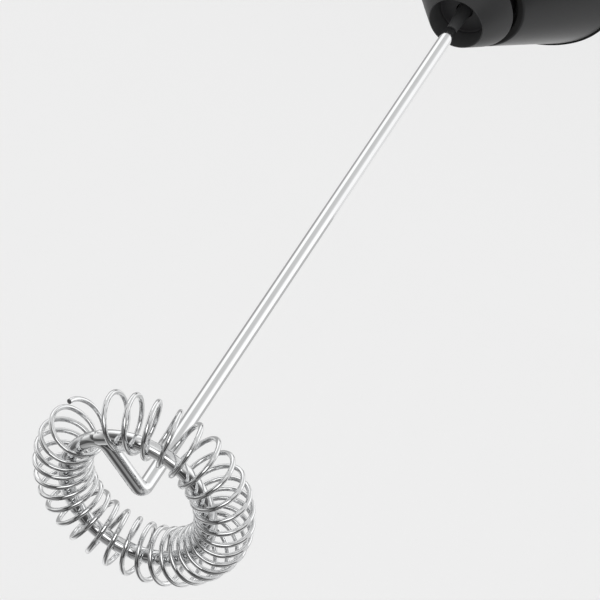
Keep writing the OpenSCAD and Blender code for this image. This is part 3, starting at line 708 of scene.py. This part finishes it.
def make_band():
    bore = station(BAND_Z, WALL - PRESS_PLAY)
    profile = [station(BAND_Z, -BAND_PROUD), Vector((CONE_W, CONE_W * FLAT, COVER_Z)) + even(BAND_LIP),
               bore + even(0, COVER_Z - BAND_Z), bore]
    return skin("sealing_band", ovals(rounded(profile, [0.3, 0.25, 0.1, 0.1], 6)), black_rubber, True)


# %% [markdown]
# The body is one deep cup. The loft goes up the outside, over the rim and down the inside, so
# the wall has a true thickness. The battery cover is the piece of that same wall that the
# opening cuts out, a little smaller all round, so the two surfaces always agree.

# %% Make the body and the battery cover
DOOR_W, DOOR_LOW, DOOR_HIGH, DOOR_CORNER = 14.8, 4.6, 57.5, 4.0
PLAY = 0.15
LEDGE_W, LEDGE_GAP = 1.2, 0.05       # ledge in the body that carries the cover
NOTCH_R = 3.2
BUTTON_Z = (low("switch_button", 2) + high("switch_button", 2)) / 2
BUTTON_R = 5.5
HOLE_FROM, DEEP = 8.0, 21.0          # cutting tools start inside the wall and reach past it


def cup(name):
    """Deep oval cup: up the outside, over the rim and down the inside to the floor."""
    heights = [FOOT_ROUND - (FOOT_ROUND - FOOT_Z) * math.sin(math.pi / 2 * s / FOOT_STEPS)
               for s in range(FOOT_STEPS, 0, -1)]
    heights += [FOOT_ROUND + (BAND_Z - FOOT_ROUND) * s / WALL_STEPS for s in range(WALL_STEPS + 1)]
    outside = [station(z) for z in heights]
    inside = [station(z, WALL) for z in reversed(heights) if z > FLOOR_Z]
    foot = [outside[0] - even(FOOT_EDGE)]
    floor = [inside[-1] - even(0.3, inside[-1].z - FLOOR_Z)]
    return skin(name, ovals(foot + outside + inside + floor), body_plastic)


def tool(outline, depth_from, depth_to=DEEP, facing=1):
    """Prism used as a cutting tool: an outline in X and Z pushed along Y."""
    rings = [[(x, facing * y, z) for x, z in outline] for y in (depth_from, depth_to)]
    if facing > 0:
        rings = [list(reversed(ring)) for ring in rings]
    return skin("tool", rings, body_plastic)


def door_outline(gap):
    corners = [(-DOOR_W + gap, DOOR_LOW + gap), (DOOR_W - gap, DOOR_LOW + gap),
               (DOOR_W - gap, DOOR_HIGH - gap), (-DOOR_W + gap, DOOR_HIGH - gap)]
    return [tuple(p) for p in rounded(corners, DOOR_CORNER - gap, 10)]


def disc_outline(r, z, sides=96):
    return [(x, y + z) for x, y, _ in circle(r, 0, sides)]


def core(inset):
    """Solid with the body's form, smaller all round, over the height of the battery cover."""
    return skin("core", ovals([station(z, inset) for z in range(2, 65)]), body_plastic)


def make_body():
    body = cup("body_cup")
    rebate = cut(tool(door_outline(0), 0), core(WALL / 2), "DIFFERENCE")
    hole = tool(disc_outline(BUTTON_R + PLAY, BUTTON_Z), HOLE_FROM, facing=-1)
    for cutter in (tool(door_outline(LEDGE_W), 0), rebate, hole):
        cut(body, cutter, "DIFFERENCE")
    return body


def make_door():
    door = cut(cup("battery_cover_shell"), tool(door_outline(PLAY), 0), "INTERSECT")
    step = cut(core(WALL / 2 - LEDGE_GAP), tool(door_outline(LEDGE_W + PLAY), -DEEP), "DIFFERENCE")
    notch = cut(tool(disc_outline(NOTCH_R, DOOR_LOW, 48), 0), core(WALL / 2), "DIFFERENCE")
    return cut(cut(door, step, "DIFFERENCE"), notch, "DIFFERENCE")


# %% [markdown]
# ## Things in a row
# Grip ribs and screws are the same shape set down again at even steps. On the bench the same
# cutter or the same bag of screws makes them all. A small node tree does it here: it takes one
# shape, a start, a step and a count, and sets the shape on a row of points.

# %% Repeat a shape in a row
ROW_SIZES = {"Count": 2, "Start": (0.0, 0.0, 0.0), "Step": (0.0, 0.0, 0.001)}


def row_tree(name, finish):
    tree, given = start_tree(name, ROW_SIZES, shape=True)
    points = add(tree, "GeometryNodeMeshLine", {"Count": given["Count"], "Start Location": given["Start"],
                                                "Offset": given["Step"]}).outputs["Mesh"]
    placed = add(tree, "GeometryNodeInstanceOnPoints", {"Points": points, "Instance": given["Shape"]})
    return end_tree(tree, placed.outputs["Instances"], finish)


def row(name, one, count, start, step, finish):
    """Sets a piece down several times, from a start and by a step in millimetres."""
    mesh = one.data
    bpy.data.objects.remove(one)
    sizes = {"Count": count, "Start": tuple(Vector(start) * MM), "Step": tuple(Vector(step) * MM)}
    return grow(name, row_tree(name, finish), finish, sizes, mesh)


# %% Add grip ribs to the battery cover
RIB_REACH, RIB_R, RIB_PROUD = 6.9, 0.42, 0.33
RIB_FIRST_Z, RIB_STEP, RIBS = 47.5, 2.2, 3


def make_ribs():
    w, t = body_w(RIB_FIRST_Z + RIB_STEP), body_t(RIB_FIRST_Z + RIB_STEP)
    path, radii = [], []
    half = 16                            # points on each side of the middle, closer at the ends
    for k in range(-half, half + 1):
        share = math.sin(math.pi / 2 * k / half)
        x = share * RIB_REACH
        path.append(Vector((x, t * math.sqrt(1 - (x / w) ** 2) - (RIB_R - RIB_PROUD), 0)))
        radii.append(RIB_R * max(0.1, (1 - abs(share) ** 12) ** 0.5))
    rib = skin("rib", follow(path, radii, 20)[0], body_plastic)
    return row("grip_ribs", rib, RIBS, (0, 0, RIB_FIRST_Z), (0, 0, RIB_STEP), body_plastic)


# %% [markdown]
# The button is a shallow turned cap with a dished top. It slides in the hole of the body, and
# its flange keeps it inside. The foot pad is a stadium of rubber set into the bottom.

# %% The button and the foot pad
PAD_R, PAD_W = 7.5, 12.5


def on_front(rings, z):
    """Turns rings made about +Z so that they point out of the front, at a height."""
    return [[(x, -h, y + z) for x, y, h in ring] for ring in rings]


def make_button():
    top, floor = -low("switch_button", 1), -high("switch_button", 1)
    flange, bore, middle = BUTTON_R + 0.6, BUTTON_R - 0.9, 0.002
    profile = [(bore, floor), (flange, floor), (flange, floor + 0.55), (BUTTON_R, floor + 0.55),
               (BUTTON_R, top - 0.1), (BUTTON_R - 1.3, top - 0.02), (BUTTON_R - 2.6, top - 0.3),
               (middle, top - 0.5), (middle, floor + 0.8), (bore, floor + 0.8)]
    rounds = [0.1, 0.12, 0.1, 0.1, 0.7, 0.6, 1.6, 0, 0, 0.2]
    rings = on_front([circle(r, h, 96) for r, h in rounded(profile, rounds, 6)], BUTTON_Z)
    return skin("push_button", rings, button_plastic, True)


def make_foot():
    steps = ((0.5, 0), (0.15, 0.12), (0, 0.45), (0, high("foot_pad", 2)))
    rings = [plate_ring((PAD_W, PAD_R), PAD_R, inset, z, step=6) for inset, z in steps]
    return skin("foot_pad_rubber", rings, black_rubber)


# %% Make the handle's pieces
dress([(make_front_cover(), "front_cover", "handle", "body_plastic"),
       (make_band(), "seal_ring", "handle", "black_rubber"),
       (make_body(), "body_shell", "handle", "body_plastic"),
       (cut(make_door(), make_ribs(), "UNION"), "battery_cover", "battery_door", "body_plastic"),
       (make_button(), "switch_button", "button", "button_grey"),
       (make_foot(), "foot_pad", "handle", "black_rubber")])

# %% [markdown]
# ## The power pack
# Two dry cells lie side by side, one turned over, so a single bridge joins them at the foot. A cell
# is a drawn steel can in a shrunk plastic wrap that grips the can's ends, so the wrap is a second
# finish on the same turned shape. Each contact is a pressed plate. The conical springs press on the
# flat ends of the cells and follow a plain spiral, which is again work for a node tree.

# %% Make the cells
CELL_R, CELL_LENGTH, CELL_X, CELL_LOW = 7.1, 50.5, 7.4, low("battery_right", 2)
NUB_R, NUB_H, WRAP_IN = 2.7, 1.5, 6.35


def make_cell(name, x, nub_up):
    """Turned cell. Heights run from its flat end."""
    shoulder = CELL_LENGTH - NUB_H
    profile = [(0.01, 0.12), (4.6, 0.12), (4.75, 0), (5.4, 0), (5.6, 0.12), (6.3, 0.12), (6.45, 0),
               (CELL_R, 0.2), (CELL_R, shoulder + 0.1), (6.5, shoulder + 0.3), (WRAP_IN, shoulder),
               (3.6, shoulder), (3.4, shoulder + 0.25), (2.75, shoulder + 0.25), (NUB_R, CELL_LENGTH),
               (0.01, CELL_LENGTH)]
    rounds = [0, 0.05, 0.05, 0.05, 0.05, 0.05, 0.1, 0.5, 0.5, 0.2, 0.1, 0.1, 0.1, 0.15, 0.45, 0]
    turned = [(r, CELL_LOW + h) for r, h in rounded(profile, rounds, closed=False)]
    if not nub_up:
        turned = [(r, 2 * CELL_LOW + CELL_LENGTH - z) for r, z in reversed(turned)]
    cell = lathe(name, turned, zinc, 96, closed=False, x=x)
    flat = CELL_LOW if nub_up else CELL_LOW + CELL_LENGTH
    paint(cell, cell_wrap, lambda r, z: r > WRAP_IN and abs(z - flat) < shoulder + 0.35, x)
    return cell


dress([(make_cell("cell_right", CELL_X, True), "battery_right", "handle", "cell"),
       (make_cell("cell_left", -CELL_X, False), "battery_left", "handle", "cell")])

# %% Plates and bosses
SHEET_T, PLATE, PLATE_CORNER, STRIP_X = 0.4, (4.0, 4.0), 0.8, -4.2


def slab(name, size, corner, z_low, z_high, at, finish, edge=0.08):
    """Plate cut from sheet, with its edges broken. Size is its half width and half depth."""
    steps = ((edge, z_low), (0, z_low + edge), (0, z_high - edge), (edge, z_high))
    return skin(name, [plate_ring(size, corner, inset, z, at) for inset, z in steps], finish)


def boss(x, r_low, r_high, z_low, z_high):
    """Round boss pressed out of a plate, about an upright axis."""
    profile = [(0.01, z_low), (r_low, z_low), (r_high, z_high), (0.01, z_high)]
    return lathe("boss", rounded(profile, 0.3, closed=False), brass, 48, closed=False, x=x)


# %% Grow a conical spring
CONTACT_SIZES = {"Turns": 2.0, "Wide Radius": 3.4 * MM, "Narrow Radius": 2.0 * MM, "Rise": 2.1 * MM,
                 "Wire Radius": 0.3 * MM, "Place": (0.0, 0.0, 0.0)}


def contact_spring(name, **sizes):
    """Conical spring. Sizes that differ from the usual ones are given by name."""
    tree, given = start_tree(name, CONTACT_SIZES)
    spiral = add(tree, "GeometryNodeCurveSpiral", {
        "Resolution": 40, "Rotations": given["Turns"], "Start Radius": given["Wide Radius"],
        "End Radius": given["Narrow Radius"], "Height": given["Rise"]}).outputs["Curve"]
    moved = add(tree, "GeometryNodeTransform", {"Geometry": sweep(tree, spiral, given["Wire Radius"], 12),
                                                "Translation": given["Place"]})
    end_tree(tree, moved.outputs["Geometry"], brass)
    named = {key.replace("_", " "): value for key, value in sizes.items()}
    return grow(name, tree, brass, {**CONTACT_SIZES, **named})


# %% Make the contacts
def make_plates(plate_z, foot_z):
    """Positive, negative and bridge plates, each joined to its boss or tabs."""
    positive, negative = (slab(name, PLATE, PLATE_CORNER, plate_z, plate_z + SHEET_T, (x, 0), brass)
                          for name, x in (("contact_positive_plate", CELL_X),
                                          ("contact_negative_plate", -CELL_X)))
    bridge = slab("bridge_contact_plate", (11, 3.5), 1.0, foot_z, foot_z + SHEET_T, (0, 0), brass)
    tab_top = high("contact_positive", 2)
    cut(positive, boss(CELL_X, 1.6, 2.4, low("contact_positive", 2), plate_z + 0.1), "UNION")
    cut(positive, slab("tab", (0.9, 0.2), 0.15, plate_z + 0.1, tab_top, (6.0, 0.5), brass), "UNION")
    cut(negative, slab("strip", (0.8, 3.75), 0.3, plate_z, plate_z + SHEET_T, (STRIP_X, -6.25), brass),
        "UNION")
    cut(bridge, boss(-CELL_X, 2.4, 1.6, foot_z + 0.3, foot_z + 3.3), "UNION")
    return positive, negative, bridge


plate_z, foot_z = high("contact_negative", 2) - SHEET_T, low("bridge_contact", 2)
positive, negative, bridge = make_plates(plate_z, foot_z)
upper_spring = contact_spring("contact_negative_spring", Rise=-1.79 * MM,
                              Place=(-CELL_X * MM, 0.0, (plate_z + 0.05) * MM))
lower_spring = contact_spring("bridge_contact_spring", Turns=3.0, Wide_Radius=3.2 * MM, Rise=2.64 * MM,
                              Place=(CELL_X * MM, 0.0, (foot_z + 0.36) * MM))
dress([(positive, "contact_positive", "handle", "brass"),
       (negative, "contact_negative", "handle", "brass"),
       (bridge, "bridge_contact", "handle", "brass"),
       (upper_spring, "contact_negative", "handle", "brass"),
       (lower_spring, "bridge_contact", "handle", "brass")])

# %% [markdown]
# ## Leads, motor can and screws
# A lead is a length of covered wire whose bends are as wide as the cover allows. The motor's can is
# deep drawn, so its corners are round and its wall is thin all the way. The screws are all one
# shape, set down in rows by the node tree.

# %% Make the leads
LEAD_R, LEAD_BEND, LEAD_Y = 0.44, 0.9, -9.5
SWITCH_X, SWITCH_LOW, SWITCH_HIGH, MOTOR_X = -3.0, 66.5, 69.5, -6.0   # where the leads are soldered


def make_lead(name, corners, finish):
    """Covered wire through corners, each turned as a bend."""
    points = [Vector(p) for p in corners]
    ways = [(b - a).normalized() for a, b in zip(points, points[1:])]
    path = [points[0]]
    for k in range(1, len(points) - 1):
        path += bend(points[k], ways[k - 1], ways[k], LEAD_BEND, 8)
    path.append(points[-1])
    return skin(name, follow(path, [LEAD_R] * len(path), 20)[0], finish)


lead_switch = make_lead("switch_lead_wire", [(STRIP_X, LEAD_Y, 58.6), (STRIP_X, LEAD_Y, SWITCH_LOW),
                                             (SWITCH_X, LEAD_Y, SWITCH_LOW)], lead_black)
lead_motor = make_lead("motor_lead_wire", [(SWITCH_X, LEAD_Y, SWITCH_HIGH), (MOTOR_X, LEAD_Y, SWITCH_HIGH),
                                           (MOTOR_X, LEAD_Y, 60.8), (MOTOR_X, -0.25, 60.8)], lead_red)

# %% Make the motor can
CAN_R, CAN_FLAT, CAN_WALL, CAN_ROUND, CAN_HOLE = 10.0, 7.55, 0.8, 1.2, 2.8
MOTOR_SCREW_X, MOTOR_SCREW_R = 6.0, 0.8


def can_ring(inset, z, sides=160):
    """Ring of a round can with two flats, its corners softened."""
    def reach(a):
        return min(CAN_R - inset, (CAN_FLAT - inset) / max(abs(math.sin(a)), 1e-6))
    ring = []
    for k in range(sides):
        a = 2 * math.pi * k / sides
        r = sum(reach(a + math.radians(d)) for d in (-3, -1.5, 0, 1.5, 3)) / 5
        ring.append((r * math.cos(a), r * math.sin(a), z))
    return ring


def can_round(inset, z, radius):
    """Rings of a rounded edge, from the upright wall over to the level end at height z."""
    return [can_ring(inset + radius - radius * math.cos(a), z - radius + radius * math.sin(a))
            for a in (math.pi / 2 * k / 6 for k in range(7))]


def make_can():
    foot, top, edge = low("motor_can", 2), high("motor_can", 2), 0.1
    inner_top = top - CAN_WALL
    rings = [can_ring(edge, foot), can_ring(0, foot + edge)] + can_round(0, top, CAN_ROUND)
    rings += [circle(CAN_HOLE + edge, top, 160), circle(CAN_HOLE, top - edge, 160),
              circle(CAN_HOLE, inner_top, 160)]
    rings += list(reversed(can_round(CAN_WALL, inner_top, 0.5)))
    rings += [can_ring(CAN_WALL, foot + edge), can_ring(CAN_WALL - edge, foot)]
    can = skin("motor_can_drawn", rings, zinc, True)
    off_edge = 0.004                     # keeps the drill's corners off the can's own edges
    for x in (-MOTOR_SCREW_X, MOTOR_SCREW_X):
        drill = [(MOTOR_SCREW_R, top - 2), (MOTOR_SCREW_R, top + 1)]
        cut(can, lathe("drill", drill, zinc, 32, False, x, off_edge), "DIFFERENCE")
    return can


can = make_can()

# %% Make the screws
CHASSIS_SCREW_Y, CHASSIS_SCREW_Z, CHASSIS_SCREW_STEP = -7.8, 17.0, 28.0
THREAD, THREAD_ROOT = 0.5, 0.8               # pitch, and the root as a share of the radius
RECESS_HALF, RECESS_DEPTH, HEAD_H, MOTOR_SHANK = 0.18, 0.5, 0.98, 2.38


def make_screw(head_r, head_h, shank_r, shank):
    """Pan-head screw about +Z, its seat at zero, with a crossed recess and turned grooves."""
    root = shank_r * THREAD_ROOT
    profile = [(0.01, -shank), (shank_r * 0.5, -shank)]
    for k in range(int((shank - 0.6) / THREAD)):
        z = THREAD * k - shank + 0.4
        profile += [(root, z - 0.12), (shank_r, z), (root, z + 0.12)]
    profile += [(root, -0.1), (shank_r * 0.9, 0.0), (head_r - 0.08, 0.0), (head_r, 0.08)]
    profile += [(head_r * math.cos(a) ** 0.6, 0.08 + (head_h - 0.08) * math.sin(a))
                for a in (math.pi / 2 * k / 8 for k in range(1, 8))]
    profile.append((0.01, head_h))
    screw = lathe("screw", profile, zinc, 40, closed=False)
    arm = head_r * 0.6
    low_z, high_z = head_h - RECESS_DEPTH, head_h + RECESS_DEPTH
    for size in ((arm, RECESS_HALF), (RECESS_HALF, arm)):
        cut(screw, slab("recess", size, 0.1, low_z, high_z, (0, 0), zinc, 0.05), "DIFFERENCE")
    return screw


chassis_screw = make_screw(1.5, HEAD_H, 0.8, 4.18)
chassis_screw.data.transform(Matrix.Rotation(math.radians(-90), 4, "X"))
chassis_screws = row("chassis_screw_pair", chassis_screw, 2, (0, CHASSIS_SCREW_Y, CHASSIS_SCREW_Z),
                     (0, 0, CHASSIS_SCREW_STEP), zinc)
motor_screw_seat = low("motor_screws", 2) + MOTOR_SHANK + 0.02
motor_screws = row("motor_screw_pair", make_screw(1.6, HEAD_H, MOTOR_SCREW_R, MOTOR_SHANK), 2,
                   (-MOTOR_SCREW_X, 0, motor_screw_seat), (2 * MOTOR_SCREW_X, 0, 0), zinc)

dress([(can, "motor_can", "handle", "screw_steel"),
       (lead_switch, "lead_switch", "handle", "lead_black"),
       (lead_motor, "lead_motor", "handle", "lead_red"),
       (chassis_screws, "chassis_screws", "handle", "screw_steel"),
       (motor_screws, "motor_screws", "handle", "screw_steel")])

# %% [markdown]
# ## Finishes of the solids that stay
# The other inner pieces keep their engineering meshes, whose shapes are right. Each gets its
# finish, and a small bevel breaks the edges that a mould or a press would never leave sharp.

# %% Give the inner pieces their finishes
INNER = {
    "motor_shaft": shaft_steel, "armature_core": iron, "armature_windings": copper,
    "commutator": copper, "chassis": frame_plastic, "motor_magnets": iron,
    "motor_end_bell": white_plastic, "front_bushing": brass, "rear_bushing": brass,
    "motor_brushes": copper, "motor_terminals": brass, "switch_case": black_plastic,
    "switch_plunger": white_plastic,
}
BROKEN_EDGE = 0.08
for node, finish in INNER.items():
    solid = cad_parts[node]
    solid.data.materials.clear()
    solid.data.materials.append(finish)
    joined = solid.modifiers.new("joined", "WELD")
    joined.merge_threshold = 0.001 * MM
    bevel = solid.modifiers.new("broken_edges", "BEVEL")
    bevel.width, bevel.segments = BROKEN_EDGE * MM, 2
    bevel.limit_method, bevel.angle_limit = "ANGLE", math.radians(50)
print("solids with finishes:", len(INNER))

# %% [markdown]
# ## Floor and light
# The tool stands on a plain pale floor in soft studio light. Bright metal shows what is around
# it, so cards stand and lie round it: white ones for the bright bands, grey and black ones for
# the lines that give a polished rod its roundness. The cards here only show in reflections.

# %% Make the floor
def make_floor(half=2.5):
    mesh = bpy.data.meshes.new("floor")
    corners = [(-half, -half, 0), (half, -half, 0), (half, half, 0), (-half, half, 0)]
    mesh.from_pydata(corners, [], [(0, 1, 2, 3)])
    mesh.materials.append(new_finish("pale_floor", (0.80, 0.80, 0.80), 0.0, 0.9)[0])
    link("floor", mesh)


# %% Cards that only show in reflections
CARD_STRENGTH, CARD_HEIGHT, TENT_STRENGTH = 1.3, 0.5, 1.6


def glow(name, strength):
    """Material of a card: plain light. Returns the material, its tree and the light's node."""
    finish = bpy.data.materials.new(name)
    finish.use_nodes = True
    tree = finish.node_tree
    tree.nodes.clear()
    light = add(tree, "ShaderNodeEmission", {"Strength": strength})
    add(tree, "ShaderNodeOutputMaterial", {"Surface": light.outputs["Emission"]})
    return finish, tree, light


def card(name, points, faces, finish):
    mesh = bpy.data.meshes.new(name)
    mesh.from_pydata([Vector(p) * MM for p in points], [], faces)
    mesh.materials.append(finish)
    sheet = link(name, mesh)
    for ray in ("camera", "diffuse", "shadow", "transmission"):
        setattr(sheet, "visible_" + ray, False)


# %% Tones across a card
def ramp(tree, value, stops):
    """Tones by a value: stops are (value, tone)."""
    node = add(tree, "ShaderNodeValToRGB", {"Fac": value})
    elements = node.color_ramp.elements
    while len(elements) < len(stops):
        elements.new(0.5)
    for element, (place, tone) in zip(elements, sorted(stops)):
        element.position = place
        element.color = (tone, tone, tone, 1)
    return node.outputs["Color"]


def tones_round(tree, stops):
    """Tones by the direction round the tool: stops are (degrees from the front, tone)."""
    where = add(tree, "ShaderNodeTexCoord").outputs["Object"]
    turn = add(tree, "ShaderNodeTexGradient", {"Vector": where}, gradient_type="RADIAL")
    return ramp(tree, turn.outputs["Fac"], [((0.25 + angle / 360) % 1.0, tone) for angle, tone in stops])


# %% Cards round the tool and above it
def round_card(name, rows, sides, finish):
    """Card that goes round the tool, through level circles: rows are (radius, height)."""
    points = [polar(r, 360 * k / sides, z) for r, z in rows for k in range(sides)]
    faces = [(i * sides + k, i * sides + (k + 1) % sides, (i + 1) * sides + (k + 1) % sides,
              (i + 1) * sides + k) for i in range(len(rows) - 1) for k in range(sides)]
    card(name, points, faces, finish)


def ring_card(name, inner, outer, stops):
    """Flat ring lying round the tool, with tones by direction."""
    finish, tree, light = glow(name, CARD_STRENGTH)
    feed(light, {"Color": tones_round(tree, stops)})
    round_card(name, [(outer, CARD_HEIGHT), (inner, CARD_HEIGHT)], 72, finish)


def tent(radius, by_height, by_angle, rows=16):
    """Dome over the tool. Its tone follows the height, and strips of light run up its sides."""
    finish, tree, light = glow("tent", TENT_STRENGTH)
    where = add(tree, "ShaderNodeTexCoord").outputs["Object"]
    split = add(tree, "ShaderNodeSeparateXYZ", {"Vector": where})
    share = calc(tree, "DIVIDE", split.outputs["Z"], radius * MM)
    tones = add(tree, "ShaderNodeMix", data_type="RGBA", blend_type="MULTIPLY")
    feed(tones, {"Factor": 1.0, "A": ramp(tree, share, by_height), "B": tones_round(tree, by_angle)})
    feed(light, {"Color": tones.outputs["Result"]})
    lifts = [math.pi / 2 * r / rows for r in range(rows + 1)]
    round_card("tent", [(radius * math.cos(a) + 0.1, radius * math.sin(a)) for a in lifts], 48, finish)


def soft_card(name, place, aim, width, height, strength):
    """Bright rectangle that faces a point."""
    way = (Vector(aim) - Vector(place)).normalized()
    side = way.cross(Vector((0, 0, 1))).normalized() * width / 2
    rise = side.normalized().cross(way) * height / 2
    centre = Vector(place)
    points = [centre - side - rise, centre + side - rise, centre + side + rise, centre - side + rise]
    card(name, points, [(0, 1, 2, 3)], glow(name, strength)[0])


# %% Hang the lights
def panel(name, place, aim, size, watts):
    data = bpy.data.lights.new(name, "AREA")
    data.shape, data.size, data.size_y = "RECTANGLE", *size
    data.energy = watts
    lamp = link(name, data)
    lamp.location = place
    lamp.rotation_mode = "QUATERNION"
    lamp.rotation_quaternion = (Vector(aim) - Vector(place)).to_track_quat("-Z", "Y")
    lamp.visible_glossy = False


make_floor()
world = bpy.data.worlds.new("studio")
bpy.context.scene.world = world
world.use_nodes = True
feed(world.node_tree.nodes["Background"], {"Color": (1, 1, 1, 1), "Strength": 0.80})
NEAR = [(0, 0.55), (38, 0.55), (48, 1.0), (85, 1.0), (108, 0.34), (150, 0.34), (-150, 0.7),
        (-105, 0.7), (-90, 0.9), (-40, 0.95), (-14, 0.6)]
FAR = [(0, 0.55), (38, 0.55), (48, 1.0), (85, 1.0), (105, 0.34), (150, 0.34), (-150, 0.45),
       (-105, 0.45), (-85, 1.0), (-40, 1.0), (-14, 0.55)]
ring_card("near_card", 60, 150, NEAR)
ring_card("far_card", 150, 420, FAR)
BY_HEIGHT = [(0.0, 0.75), (0.25, 0.6), (0.5, 0.35), (0.8, 0.2), (1.0, 0.18)]
STRIPS = [(0, 0.3), (12, 1.0), (35, 1.0), (45, 0.2), (78, 0.2), (88, 1.0), (110, 1.0), (120, 0.3),
          (150, 0.25), (160, 0.95), (190, 0.95), (200, 0.25), (232, 0.25), (242, 0.85), (262, 0.85),
          (272, 0.18), (322, 0.18), (330, 0.9), (350, 0.9)]
tent(1500, BY_HEIGHT, STRIPS)
soft_card("front_card", (60, -700, 800), (0, 0, 200), 900, 420, 1.8)
panel("top_panel", (0.0, 0.15, 0.9), (0, 0.1, 0), (1.0, 1.0), 3.0)
bpy.context.scene.view_settings.view_transform = "Standard"
